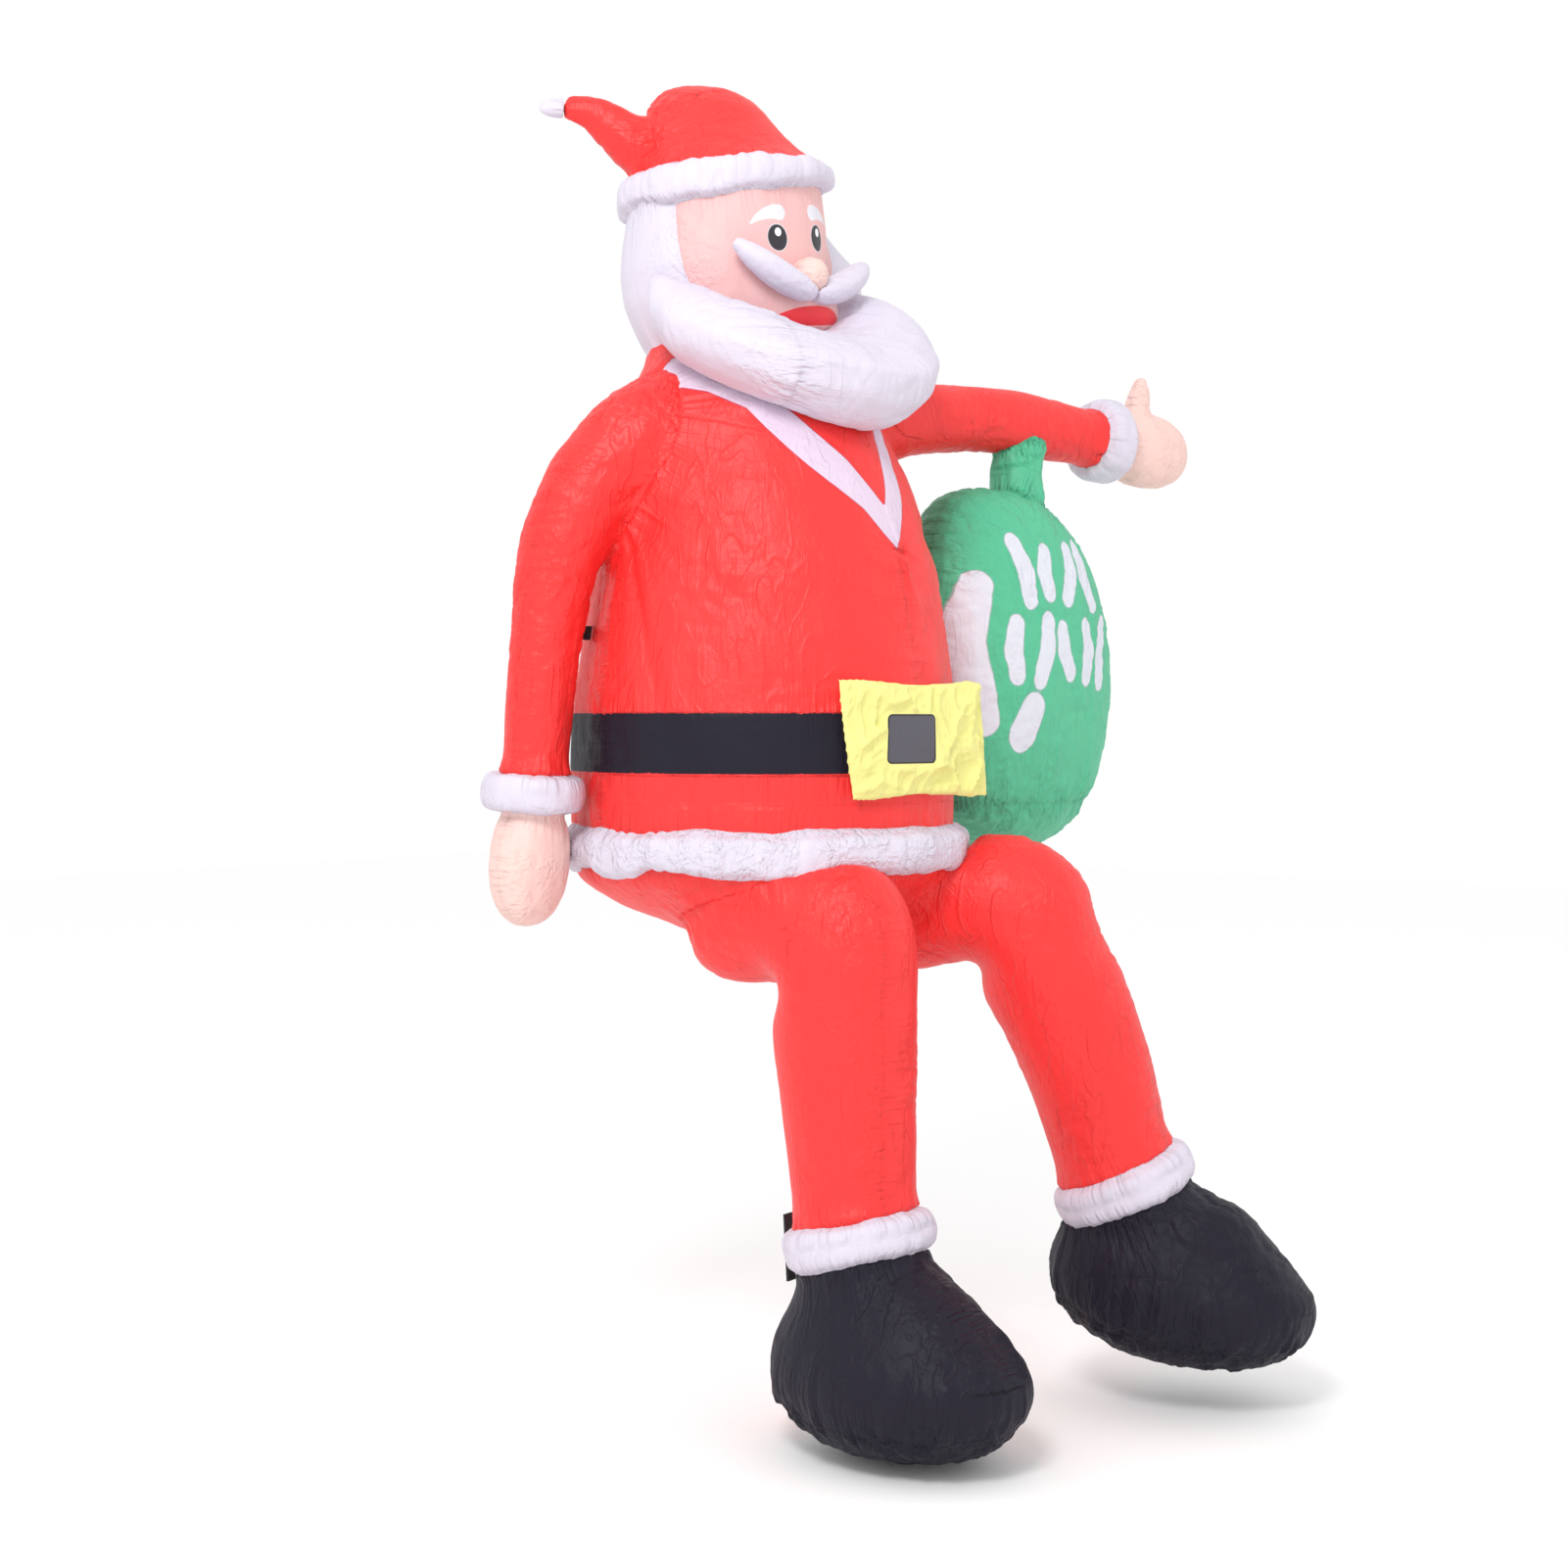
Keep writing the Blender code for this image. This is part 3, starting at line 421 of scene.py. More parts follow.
def seam_star(cloth, centre, core):
    """A gather that runs out from one point, so that its folds spread like rays round a core."""
    ray = cloth.points - np.asarray(centre)
    away = np.linalg.norm(ray, axis=1)
    nearest = np.asarray(centre) + ray / np.maximum(away, 1e-9)[:, None] * core
    return np.minimum(away, SEAM_REACH), nearest


def seam_plane(cloth, field, slope, where=None):
    """A seam along the surface where a field of length is zero; slope is the field's own direction."""
    away = np.minimum(np.abs(field), SEAM_REACH)
    if where is not None:
        away = np.where(where, away, SEAM_REACH)
    slope = np.broadcast_to(slope, cloth.points.shape)
    return away, cloth.points - slope * field[:, None]


def gather(cloth, seam, dip=1.0, pucker=1.0, reach=1.0, gap=1.0, salt=0, level=1.0):
    """Draw the cloth in along a seam and run puckers out from it.

    dip, pucker, reach and gap are shares of the sizes in the settings, salt varies the layout, and a
    level under 1 draws the puckers out in height.
    """
    sizes = bpy.context.scene.cloth_sizes
    away, nearest = seam
    seed = sizes.seed + salt
    rows = nearest * (1.0, 1.0, level) / (sizes.pucker_gap * gap)
    large = LARGE_FOLD * np.abs(lattice(rows, seed))
    fold = large + SMALL_FOLD * np.abs(lattice(rows * SMALL_FINER, seed + 1)) - FOLD_MEAN
    varied = REACH_LEAST + REACH_SPREAD * np.abs(lattice(rows / REACH_FOLDS, seed + 2))
    length = sizes.pucker_reach * reach * varied
    fade = np.exp(-away / length) * smoothstep(0.0, SEAM_EASE, away)
    cloth.push(sizes.pucker * pucker * fold * fade - sizes.seam_dip * dip * np.exp(-away / sizes.seam_roll))
    known = cloth.values.get("seam", np.full(len(away), SEAM_REACH))
    closer = away < known
    cloth.second = np.where(closer, known, away if cloth.second is None else np.minimum(cloth.second, away))
    cloth.values["seam"] = np.where(closer, away, known)
    anchors = cloth.values.get("anchor", nearest)
    cloth.values["anchor"] = np.where(closer[:, None], nearest, anchors)


def sew(cloth, nodes, *shares, **more):
    """Gather the cloth along its seam to one neighbour, or to several at once."""
    nodes = (nodes,) if isinstance(nodes, str) else nodes
    gather(cloth, away_from(cloth.points, node_tree(*nodes)), *shares, **more)


def wandering(points, size, seed):
    """A smooth vector from -1 to 1 along each axis at each point."""
    return np.stack([lattice(points / size, seed + axis) for axis in range(3)], axis=1)


def crease(cloth, stretch, depth, salt=0, sharp=3.0):
    """Long thin creases over the whole cloth; stretch is a crease's size along each axis."""
    seed = bpy.context.scene.cloth_sizes.seed + salt
    at = (cloth.points + WANDER * wandering(cloth.points, WANDER_SIZE, seed)) / np.asarray(stretch)
    patch = smoothstep(-0.4, 0.5, lattice(cloth.points / PATCH_SIZE, seed + 4))
    coarse = (1.0 - np.abs(lattice(at, seed + 3))) ** sharp
    fine = (1.0 - np.abs(lattice(at * CREASE_FINER + 5.0, seed + 5))) ** sharp
    cloth.push(-depth * (coarse + FINE_SHARE * fine) * patch)


def swell(cloth, size, height, salt=0):
    """Broad soft unevenness."""
    seed = bpy.context.scene.cloth_sizes.seed + salt
    cloth.push(height * lattice(cloth.points / size, seed + 9))


# Prints, as distances from an outline laid on the cloth

def ellipse(across, up, half_across, half_up):
    """Signed distance from an ellipse about the origin, negative inside."""
    reach = np.hypot(across / half_across, up / half_up)
    return (reach - 1.0) * min(half_across, half_up)


def taper(across, up, path):
    """Signed distance from a stroke whose path rows are across, up and half width."""
    best = np.full(len(across), 1.0)
    for (x0, y0, r0), (x1, y1, r1) in zip(path, path[1:]):
        run = np.array([x1 - x0, y1 - y0])
        share = np.clip(((across - x0) * run[0] + (up - y0) * run[1]) / max(run @ run, 1e-12), 0.0, 1.0)
        away = np.hypot(across - x0 - share * run[0], up - y0 - share * run[1]) - (r0 + share * (r1 - r0))
        best = np.minimum(best, away)
    return best


def around(points, axis_y):
    """The angle of each point round an upright axis from the figure's front, right side positive."""
    return np.arctan2(-points[:, 0], axis_y - points[:, 1])


# Materials

NODE_COLUMNS, NODE_GAP = 8, 220
PRINT_BLUR = 0.0006       # half the width of a print's edge
CREASE_DEPTH = 0.0140     # the bump's full height
LINE_HEIGHT = 0.105       # a fine crease's share of it
LINE_WIDTH = 0.055
LINE_FINENESS = 26.0      # the noise scale at which a line has its full height

# The fine creases' sets: noise scale, and where the broad patches begin and end them
LINE_SETS = ((24.0, 0.47, 0.60), (32.0, 0.53, 0.40), (60.0, 0.42, 0.62))


def add(tree, kind, **settings):
    """A node with its plain settings, put in the next free place of the tree's rows."""
    row, column = divmod(len(tree.nodes), NODE_COLUMNS)
    node = tree.nodes.new(kind)
    node.location = (NODE_GAP * column, -NODE_GAP * row)
    for name, value in settings.items():
        setattr(node, name, value)
    return node


def socket(group, name, kind, way, default=None):
    """A named socket on a node group."""
    made = group.interface.new_socket(name=name, in_out=way, socket_type=kind)
    if default is not None:
        made.default_value = default
    return made


def math_node(tree, operation, first, second):
    """A math node fed by sockets or plain numbers; returns its result."""
    node = add(tree, "ShaderNodeMath", operation=operation)
    for index, value in enumerate((first, second)):
        if isinstance(value, (int, float)):
            node.inputs[index].default_value = value
        else:
            tree.links.new(value, node.inputs[index])
    return node.outputs[0]


def ranged(tree, value, low, high, to_low=0.0, to_high=1.0):
    """A value taken from one range to another, held at both ends."""
    node = add(tree, "ShaderNodeMapRange")
    for name, number in (("From Min", low), ("From Max", high), ("To Min", to_low), ("To Max", to_high)):
        node.inputs[name].default_value = number
    tree.links.new(value, node.inputs["Value"])
    return node.outputs["Result"]


def field_node(tree, name):
    """The values kept at the points under one name."""
    return add(tree, "ShaderNodeAttribute", attribute_type="GEOMETRY", attribute_name=name)


def mixed_node(tree, factor, first, second):
    """Two colours mixed by a factor; each is a socket or a plain colour. Returns the result."""
    node = add(tree, "ShaderNodeMix", data_type="RGBA")
    tree.links.new(factor, node.inputs["Factor"])
    for name, colour in (("A", first), ("B", second)):
        if isinstance(colour, tuple):
            node.inputs[name].default_value = colour
        else:
            tree.links.new(colour, node.inputs[name])
    return node.outputs["Result"]


def new_material(name):
    """A material with its node tree and its shader."""
    material = bpy.data.materials.new(name)
    material.use_nodes = True
    return material, material.node_tree, material.node_tree.nodes["Principled BSDF"]


def taffeta_group():
    """Thin coated cloth: gathers that run out from the seams, fine crinkles, and painted shade that darkens
    the dye near the seams and along the creases.
    """
    group = bpy.data.node_groups.get("Taffeta")
    if group is not None:
        return group
    group = bpy.data.node_groups.new("Taffeta", "ShaderNodeTree")
    socket(group, "Dye", "NodeSocketColor", "INPUT", (0.8, 0.1, 0.1, 1.0))
    # The fold colour is the darker colour used for the painted shade in seams and creases.
    socket(group, "Fold Dye", "NodeSocketColor", "INPUT", (0.6, 0.0, 0.0, 1.0))
    socket(group, "Crinkle", "NodeSocketFloat", "INPUT", 0.5)
    socket(group, "Gather", "NodeSocketFloat", "INPUT", 1.0)
    socket(group, "Roughness", "NodeSocketFloat", "INPUT", 0.5)
    socket(group, "Color", "NodeSocketColor", "OUTPUT")
    socket(group, "Roughness", "NodeSocketFloat", "OUTPUT")
    socket(group, "Height", "NodeSocketFloat", "OUTPUT")
    entry = add(group, "NodeGroupInput")
    leave = add(group, "NodeGroupOutput")
    links = group.links
    place = add(group, "ShaderNodeTexCoord").outputs["Object"]
    seam = field_node(group, "seam")
    anchor = field_node(group, "anchor")

    def noise(at, scale, detail, distortion=0.0):
        node = add(group, "ShaderNodeTexNoise", noise_type="FBM")
        node.inputs["Scale"].default_value = scale
        node.inputs["Detail"].default_value = detail
        node.inputs["Distortion"].default_value = distortion
        links.new(at, node.inputs["Vector"])
        return node.outputs["Fac"]

    patches = noise(place, 5.0, 1.0)
    crease = None
    for turn, (scale, low, high) in enumerate(LINE_SETS):
        mapped = add(group, "ShaderNodeMapping")
        mapped.inputs["Rotation"].default_value = (0.7 - 1.9 * turn, 0.5, 0.3 + turn)
        mapped.inputs["Scale"].default_value = (1.0, 1.0, 0.30)
        links.new(place, mapped.inputs["Vector"])
        swirl = noise(mapped.outputs["Vector"], scale, 1.0, 0.7)
        centred = math_node(group, "SUBTRACT", swirl, 0.5)
        offset = math_node(group, "ABSOLUTE", centred, 0.0)
        height = LINE_HEIGHT * LINE_FINENESS / scale
        line = ranged(group, offset, 0.0, LINE_WIDTH, height, 0.0)
        mask = ranged(group, patches, low, high)
        masked = math_node(group, "MULTIPLY", line, mask)
        crease = masked if crease is None else math_node(group, "ADD", crease, masked)
    fine = noise(place, 60.0, 2.0, 1.0)
    grain = math_node(group, "MULTIPLY", fine, 0.10)
    both = math_node(group, "ADD", crease, grain)
    crinkled = math_node(group, "MULTIPLY", both, entry.outputs["Crinkle"])

    rays = noise(anchor.outputs["Vector"], 120.0, 1.0)
    reach = noise(anchor.outputs["Vector"], 30.0, 0.0)
    length = ranged(group, reach, 0.3, 0.7, 0.012, 0.085)
    faded = math_node(group, "DIVIDE", seam.outputs["Fac"], length)
    fading = math_node(group, "MULTIPLY", faded, -1.0)
    fade = math_node(group, "POWER", 2.718, fading)
    ease = field_node(group, "ease")
    eased = math_node(group, "MULTIPLY", fade, ease.outputs["Fac"])
    gathers = math_node(group, "MULTIPLY", rays, eased)
    gathered = math_node(group, "MULTIPLY", gathers, entry.outputs["Gather"])
    scaled = math_node(group, "MULTIPLY", gathered, 1.6)
    height = math_node(group, "ADD", scaled, crinkled)
    links.new(height, leave.inputs["Height"])

    # Painted shade: within 6 mm of a seam and along the crease lines the dye is mixed towards the darker fold
    # colour.
    near = ranged(group, seam.outputs["Fac"], 0.0, 0.006, 0.5, 0.0)
    crease_shade = ranged(group, crease, 0.0, LINE_HEIGHT, 0.0, 0.30)
    painted_shade = math_node(group, "ADD", near, crease_shade)
    shaded_dye = mixed_node(group, painted_shade, entry.outputs["Dye"], entry.outputs["Fold Dye"])
    links.new(shaded_dye, leave.inputs["Color"])
    varied = math_node(group, "MULTIPLY", patches, 0.14)
    rough = math_node(group, "ADD", varied, entry.outputs["Roughness"])
    links.new(rough, leave.inputs["Roughness"])
    return group


def fold_shade(colour):
    """The colour darkened as painted shade for folds and seams; pale cloth darkens less."""
    share = 0.80 + 0.12 * min(colour)
    return tuple(channel * share for channel in colour) + (1.0,)


SHINY, DULL = 0.42, 0.22

# Each cloth's dye, depth of crinkles, depth of gathers, roughness and shine
FABRICS = {
    "Red coat cloth": ("red", 0.75, 0.28, 0.40, SHINY),
    "Red cloth": ("red", 0.80, 0.28, 0.40, SHINY),
    "White cloth": ("white", 0.30, 0.50, 0.50, SHINY),
    "White fur cloth": ("white", 0.36, 0.50, 0.50, SHINY),
    "Beard cloth": ("white", 0.32, 0.50, 0.50, SHINY),
    "Moustache cloth": ("white", 0.20, 0.30, 0.50, SHINY),
    "Face cloth": ("skin", 0.14, 0.25, 0.45, SHINY),
    "Nose cloth": ("hand", 0.25, 0.30, 0.45, SHINY),
    "Mitten cloth": ("hand", 0.14, 0.40, 0.50, SHINY),
    "Yellow buckle cloth": ("yellow", 0.35, 0.10, 0.50, SHINY),
    "Green sack cloth": ("green", 0.60, 0.50, 0.45, SHINY),
    "Green neck cloth": ("green", 0.50, 0.90, 0.45, SHINY),
    "Black belt cloth": ("black", 0.45, 0.60, 0.46, DULL),
    "Black boot cloth": ("black", 0.85, 0.50, 0.46, DULL),
}


def cloth_material(name, prints=()):
    """One of the fabrics; prints are rows of attribute, colour and edge, laid on in order."""
    material = bpy.data.materials.get(name)
    if material is not None:
        return material
    colour_name, crinkle, gathers, roughness, shine = FABRICS[name]
    plain = tuple(getattr(bpy.context.scene.cloth_colours, colour_name))
    material, tree, shader = new_material(name)
    shader.inputs["Specular IOR Level"].default_value = shine
    cloth = add(tree, "ShaderNodeGroup", node_tree=taffeta_group())
    cloth.inputs["Dye"].default_value = plain + (1.0,)
    # Painted shade: the darker colour shown in the seams and crease lines.
    cloth.inputs["Fold Dye"].default_value = fold_shade(plain)
    cloth.inputs["Crinkle"].default_value = crinkle
    cloth.inputs["Gather"].default_value = gathers
    cloth.inputs["Roughness"].default_value = roughness
    colour = cloth.outputs["Color"]
    for attribute, ink, edge in prints:
        field = field_node(tree, attribute).outputs["Fac"]
        inside = ranged(tree, field, edge - PRINT_BLUR, edge + PRINT_BLUR, 1.0, 0.0)
        colour = mixed_node(tree, inside, colour, tuple(ink) + (1.0,))
    tree.links.new(colour, shader.inputs["Base Color"])
    tree.links.new(cloth.outputs["Roughness"], shader.inputs["Roughness"])
    relief = add(tree, "ShaderNodeBump")
    relief.inputs["Distance"].default_value = CREASE_DEPTH
    relief.inputs["Strength"].default_value = 1.0
    tree.links.new(cloth.outputs["Height"], relief.inputs["Height"])
    tree.links.new(relief.outputs["Normal"], shader.inputs["Normal"])
    return material


def webbing_material():
    """Black woven webbing, with its ribs across."""
    material, tree, shader = new_material("Black webbing")
    shader.inputs["Roughness"].default_value = 0.75
    place = add(tree, "ShaderNodeTexCoord")
    ribs = add(tree, "ShaderNodeTexWave", wave_type="BANDS", bands_direction="Z")
    ribs.inputs["Scale"].default_value = 160.0
    tree.links.new(place.outputs["Object"], ribs.inputs["Vector"])
    # Painted shade: the grooves between the ribs are coloured darker than the ribs.
    groove, rib = (0.010, 0.010, 0.012, 1.0), (0.030, 0.028, 0.034, 1.0)
    tone = mixed_node(tree, ribs.outputs["Fac"], groove, rib)
    tree.links.new(tone, shader.inputs["Base Color"])
    relief = add(tree, "ShaderNodeBump")
    relief.inputs["Distance"].default_value = 0.0008
    tree.links.new(ribs.outputs["Fac"], relief.inputs["Height"])
    tree.links.new(relief.outputs["Normal"], shader.inputs["Normal"])
    return material


# Pieces

def finish_piece(cloth, name, material, slot, *nodes):
    """Turn the arrays into the piece that stands for its nodes."""
    cloth.push(-TUCK * np.maximum(cloth.over, 0.0))
    second = SEAM_REACH if cloth.second is None else cloth.second
    cloth.values["ease"] = smoothstep(0.0, EASE_WIDTH, second - cloth.values["seam"])
    mesh = cloth.make_mesh(name)
    mesh.materials.append(material)
    piece = linked(name, mesh)
    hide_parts(*(nodes or cloth.nodes))
    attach(piece, "root")
    return piece


def make_coat():
    """The coat's cloth over the body chamber, with its collar printed on the chest."""
    scene = bpy.context.scene
    sizes, colours = scene.cloth_sizes, scene.cloth_colours
    sewn = ["sleeve_right", "sleeve_left", "head", "leg_right", "leg_left"]
    cloth = Cloth(["coat", "belt"], sizes.voxel, 110, sewn, 100)

    sew(cloth, ("sleeve_right", "sleeve_left"), 0.45, 0.7, 1.2, 1.0, 40)
    sew(cloth, "head", 0.7, 1.0, 0.7, salt=50)
    low, high = cloth.points[:, 2] < BELT_BOTTOM, cloth.points[:, 2] > BELT_TOP
    for hand in (1, -1):
        way = np.array([-math.cos(SIDE_SEAM) * hand, math.sin(SIDE_SEAM), 0.0])
        field = (cloth.points - (0, COAT_AXIS_Y, 0)) @ way
        on_side = (cloth.points[:, 0] * hand < 0) & (cloth.points[:, 2] > 0.20)
        gather(cloth, seam_plane(cloth, field, way, on_side), 0.45, 0.8, 0.7, salt=20 + hand)
        armpit = (-0.274 * hand, 0.215, 0.865)
        gather(cloth, seam_star(cloth, armpit, 0.075), 0.0, 3.2, 3.4, 0.9, 24 + hand)
    front = (cloth.points[:, 1] < COAT_AXIS_Y) & (cloth.points[:, 2] < 0.77) & high
    gather(cloth, seam_plane(cloth, cloth.points[:, 0], (1.0, 0, 0), front), 0.4, 1.5, 0.9, 0.8, 30)
    gather(cloth, seam_star(cloth, (0.008, -0.185, 0.768), 0.035), 0.2, 2.0, 1.3, 0.8, 35)
    sew(cloth, ("leg_right", "leg_left"), 0.4, 1.2, 1.0, salt=60)
    sew(cloth, "hem", 0.5, 1.0, 0.6, salt=70, level=0.3)
    for level, side, salt in ((BELT_BOTTOM, low, 80), (BELT_TOP, high, 90)):
        edge = seam_plane(cloth, cloth.points[:, 2] - level, (0, 0, 1.0), side)
        gather(cloth, edge, 0.0, 0.45, 0.5, salt=salt, level=0.3)
    crease(cloth, (0.05, 0.05, 0.022), 0.0024, 100)
    swell(cloth, 0.16, 0.0030, 110)

    points = cloth.points
    turn = around(points, COAT_AXIS_Y)
    reach = np.hypot(points[:, 0], points[:, 1] - COAT_AXIS_Y)
    degrees = np.degrees(turn)
    outer = np.interp(degrees, *np.transpose(COLLAR_OUTER))
    inner = np.interp(degrees, *np.transpose(COLLAR_INNER))
    slant = np.interp(np.abs(degrees), (0, 60, 90), (0.62, 0.75, 1.0))
    band = np.minimum(points[:, 2] - outer, inner - points[:, 2]) * slant
    ends = (COLLAR_END - np.abs(turn)) * reach
    cloth.values["collar"] = -np.minimum(band, ends)
    material = cloth_material("Red coat cloth", (
        ("collar", (0.50, 0.03, 0.06), 0.0012),
        ("collar", colours.collar, -0.0008),
    ))
    finish_piece(cloth, "coat_cloth", material, "red", "coat")
    return cloth


def make_belt(coat):
    """The black band sewn round the coat, laid on the coat's own cloth."""
    tree = coat.tree()
    columns, rows = 300, 16
    thickness, stand = 0.0035, 0.0012
    made = bmesh.new()
    grid = []
    for column in range(columns):
        turn = 2 * math.pi * column / columns
        way = Vector((-math.sin(turn), -math.cos(turn), 0))
        line = []
        for row in range(rows + 1):
            level = BELT_BOTTOM + (BELT_TOP - BELT_BOTTOM) * row / rows
            start = Vector((0, COAT_AXIS_Y, level)) + way * (COAT_RADIUS * 1.4)
            found, _, _, _ = tree.ray_cast(start, -way)
            rim = min(row, rows - row)
            line.append(found + way * (stand if rim else 0.0))
        line += [line[rows] - way * thickness, line[0] - way * thickness]
        grid.append([made.verts.new(point) for point in line])
    width = len(grid[0])
    for column in range(columns):
        here, there = grid[column], grid[(column + 1) % columns]
        for row in range(width):
            after = (row + 1) % width
            made.faces.new((here[row], here[after], there[after], there[row]))
    bmesh.ops.recalc_face_normals(made, faces=made.faces)
    mesh = bpy.data.meshes.new("belt_band")
    made.to_mesh(mesh)
    made.free()
    mesh.materials.append(cloth_material("Black belt cloth"))
    mesh.shade_smooth()
    mesh.set_sharp_from_angle(angle=math.radians(60))
    points = read(mesh.vertices, "co", 3, float)
    turn = np.abs(around(points, COAT_AXIS_Y))
    write_values(mesh, {"seam": np.abs(turn - SIDE_SEAM) * COAT_RADIUS, "ease": np.ones(len(points)),
                        "anchor": points * (0, 0, 1.0)})
    piece = linked("belt_band", mesh)
    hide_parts("belt")
    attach(piece, "root")


SQUARE_X, SQUARE_Z = -0.034, 0.440         # the middle of the buckle's dark square
CRUMPLE = 0.0105                           # depth of the buckle's crumples
CRUMPLE_SIZES = ((0.060, 1.0), (0.034, 0.75), (0.018, 0.4))    # and their sizes and shares


def make_buckle():
    """The crinkled yellow panel, with its dark square printed in the middle."""
    cloth = Cloth(["buckle"], 0.0034, 40)
    low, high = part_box("buckle")
    across = cloth.points[:, 0] - SQUARE_X
    up = cloth.points[:, 2] - SQUARE_Z
    half_across, half_up, corner = 0.063, 0.043, 0.010
    outside = np.hypot(np.maximum(np.abs(across) - half_across + corner, 0),
                       np.maximum(np.abs(up) - half_up + corner, 0)) - corner
    inside = np.minimum(np.maximum(np.abs(across) - half_across, np.abs(up) - half_up), 0)
    square = np.where(outside > -corner * 0.999, outside, inside)
    cloth.values["square"] = square
    rim = np.minimum.reduce([cloth.points[:, 0] - low.x, high.x - cloth.points[:, 0],
                             cloth.points[:, 2] - low.z, high.z - cloth.points[:, 2]])
    cloth.values["seam"] = np.maximum(rim, 0.0) + 0.012
    cloth.values["anchor"] = cloth.points * (1.0, 0.0, 1.0)
    seed = bpy.context.scene.cloth_sizes.seed + 200
    flat = cloth.points * (1.0, 0.0, 1.0)
    at = flat + 0.018 * wandering(flat, 0.05, seed)
    folds = sum(depth * (1.0 - np.abs(lattice(at / size + turn, seed + 10 + turn))) ** 2.5
                for turn, (size, depth) in enumerate(CRUMPLE_SIZES))
    ease = smoothstep(-0.004, 0.016, square) * (0.10 + 0.90 * smoothstep(0.0, 0.03, np.maximum(rim, 0)))
    front = smoothstep(0.25, 0.9, -cloth.averaged(cloth.normals(), 4)[:, 1])
    cloth.points[:, 1] -= CRUMPLE * (folds - 0.9) * ease * front
    material = cloth_material("Yellow buckle cloth", (
        ("square", (0.012, 0.010, 0.016), 0.0),
        ("square", (0.085, 0.080, 0.100), -0.0028),
    ))
    piece = finish_piece(cloth, "buckle_panel", material, "yellow")


def make_trim(name, node, sewn, voxel, depth=1.0, salt=300, level=1.0):
    """A gathered band of white fur cloth, puckered in from both of its seams."""
    cloth = Cloth([node], voxel, 20, sewn)
    for turn, neighbour in enumerate(sewn):
        sew(cloth, neighbour, 0.7, 1.5 * depth, 0.7, 1.1, salt + 3 * turn, level)
    crease(cloth, (0.028, 0.028, 0.07), 0.0022 * depth, salt + 7, 2.0)
    swell(cloth, 0.065, 0.0065 * depth, salt + 8)
    cloth.push(np.full(len(cloth.points), TRIM_FULLNESS))
    if node in ("hem", "hat_band"):
        middle = node_middle(node)
        half = (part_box(node)[1].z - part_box(node)[0].z) / 2
        under = smoothstep(0.15, -0.5, (cloth.points[:, 2] - middle.z) / half)
        ring = cloth.points * (1.0, 1.0, 0.0)
        waves = 0.0105 * lattice(ring / 0.085, salt + 9) + 0.004 * lattice(ring / 0.03, salt)
        cloth.points[:, 2] += under * waves
    finish_piece(cloth, name, cloth_material("White fur cloth"), "white")


def make_head():
    """The head's cloth: white hair round a pink face panel, with eyes, brows and mouth printed on it."""
    scene = bpy.context.scene
    colours, face = scene.cloth_colours, scene.face_print
    cloth = Cloth(["head"], scene.cloth_sizes.fine_voxel, 60, ["coat"])
    turn = around(cloth.points, HEAD_AXIS_Y)
    height = cloth.points[:, 2].copy()
    arc = turn * HEAD_RADIUS

    degrees = np.degrees(np.abs(turn))
    edge = np.interp(height, *np.transpose(FACE_EDGE)) - np.where(turn < 0, FAR_HAIR, 0.0)
    hair = (edge - degrees) * math.radians(HEAD_RADIUS)
    puff = smoothstep(0.0, 0.035, np.maximum(-hair, 0.0)) * smoothstep(1.17, 1.25, height)
    left = bump(np.degrees(turn), -80, 18) * bump(height, 1.300, 0.080)
    chin = bump(np.degrees(turn), -22, 36) * bump(height, 1.215, 0.050)
    cloth.push(0.006 * puff + 0.130 * left + 0.040 * chin)
    gather(cloth, (np.abs(hair), cloth.points.copy()), 0.45, 0.0, 1.0)
    sew(cloth, "hat_band", 0.3, 0.6, 0.7, 1.1, 410)
    sew(cloth, "coat", 0.8, 1.2, 0.8, 1.0, 420)
    swell(cloth, 0.10, 0.0018, 430)
    cloth.values["hair"] = hair

    lean, up0 = face.tilt, height - face.middle
    across = arc * math.cos(lean) - up0 * math.sin(lean)
    up = up0 * math.cos(lean) + arc * math.sin(lean)
    behind = np.abs(turn) > math.radians(90)
    across = np.where(behind, 1.0, across)
    mirrored = np.abs(across)
    cloth.values["eye"] = ellipse(mirrored - face.eye_out, up - face.eye_up, face.eye_wide, face.eye_tall)
    glint_across = mirrored - face.eye_out + np.where(across > 0, 0.002, -0.003)
    cloth.values["glint"] = ellipse(glint_across, up - face.eye_up - 0.010, 0.0068, 0.0078)
    cloth.values["brow"] = taper(mirrored, up, BROW)
    over = height - face.mouth_level + face.mouth_lean * arc
    mouth = ellipse(arc - face.mouth_across, over, face.mouth_wide, face.mouth_tall)
    cloth.values["mouth"] = np.maximum(mouth, -over)
    ink = (0.030, 0.027, 0.034)
    material = cloth_material("Face cloth", (
        ("hair", colours.white, 0.0),
        ("brow", (0.73, 0.71, 0.77), 0.0),
        ("mouth", colours.lips, 0.0),
        ("eye", (0.66, 0.63, 0.66), 0.0016),
        ("eye", ink, 0.0),
        ("glint", (0.95, 0.95, 0.95), 0.0),
    ))
    finish_piece(cloth, "head_cloth", material, "skin")


def make_nose():
    """The small stuffed nose."""
    cloth = Cloth(["nose"], 0.0024, 14, ["head"])
    sew(cloth, "head", 0.3, 0.5, 0.4, 0.7, 500)
    finish_piece(cloth, "nose_cloth", cloth_material("Nose cloth"), "skin")


def make_moustache():
    """Both halves of the moustache."""
    material = cloth_material("Moustache cloth")
    for side in SIDES:
        cloth = Cloth(["moustache_" + side], 0.0030, 14)
        sew(cloth, "nose", 0.0, 0.6, 0.5, 0.8, 510)
        crease(cloth, (0.03, 0.03, 0.02), 0.0010, 520)
        cloth.push(np.full(len(cloth.points), 0.0020))
        finish_piece(cloth, "moustache_%s_cloth" % side, material, "white")


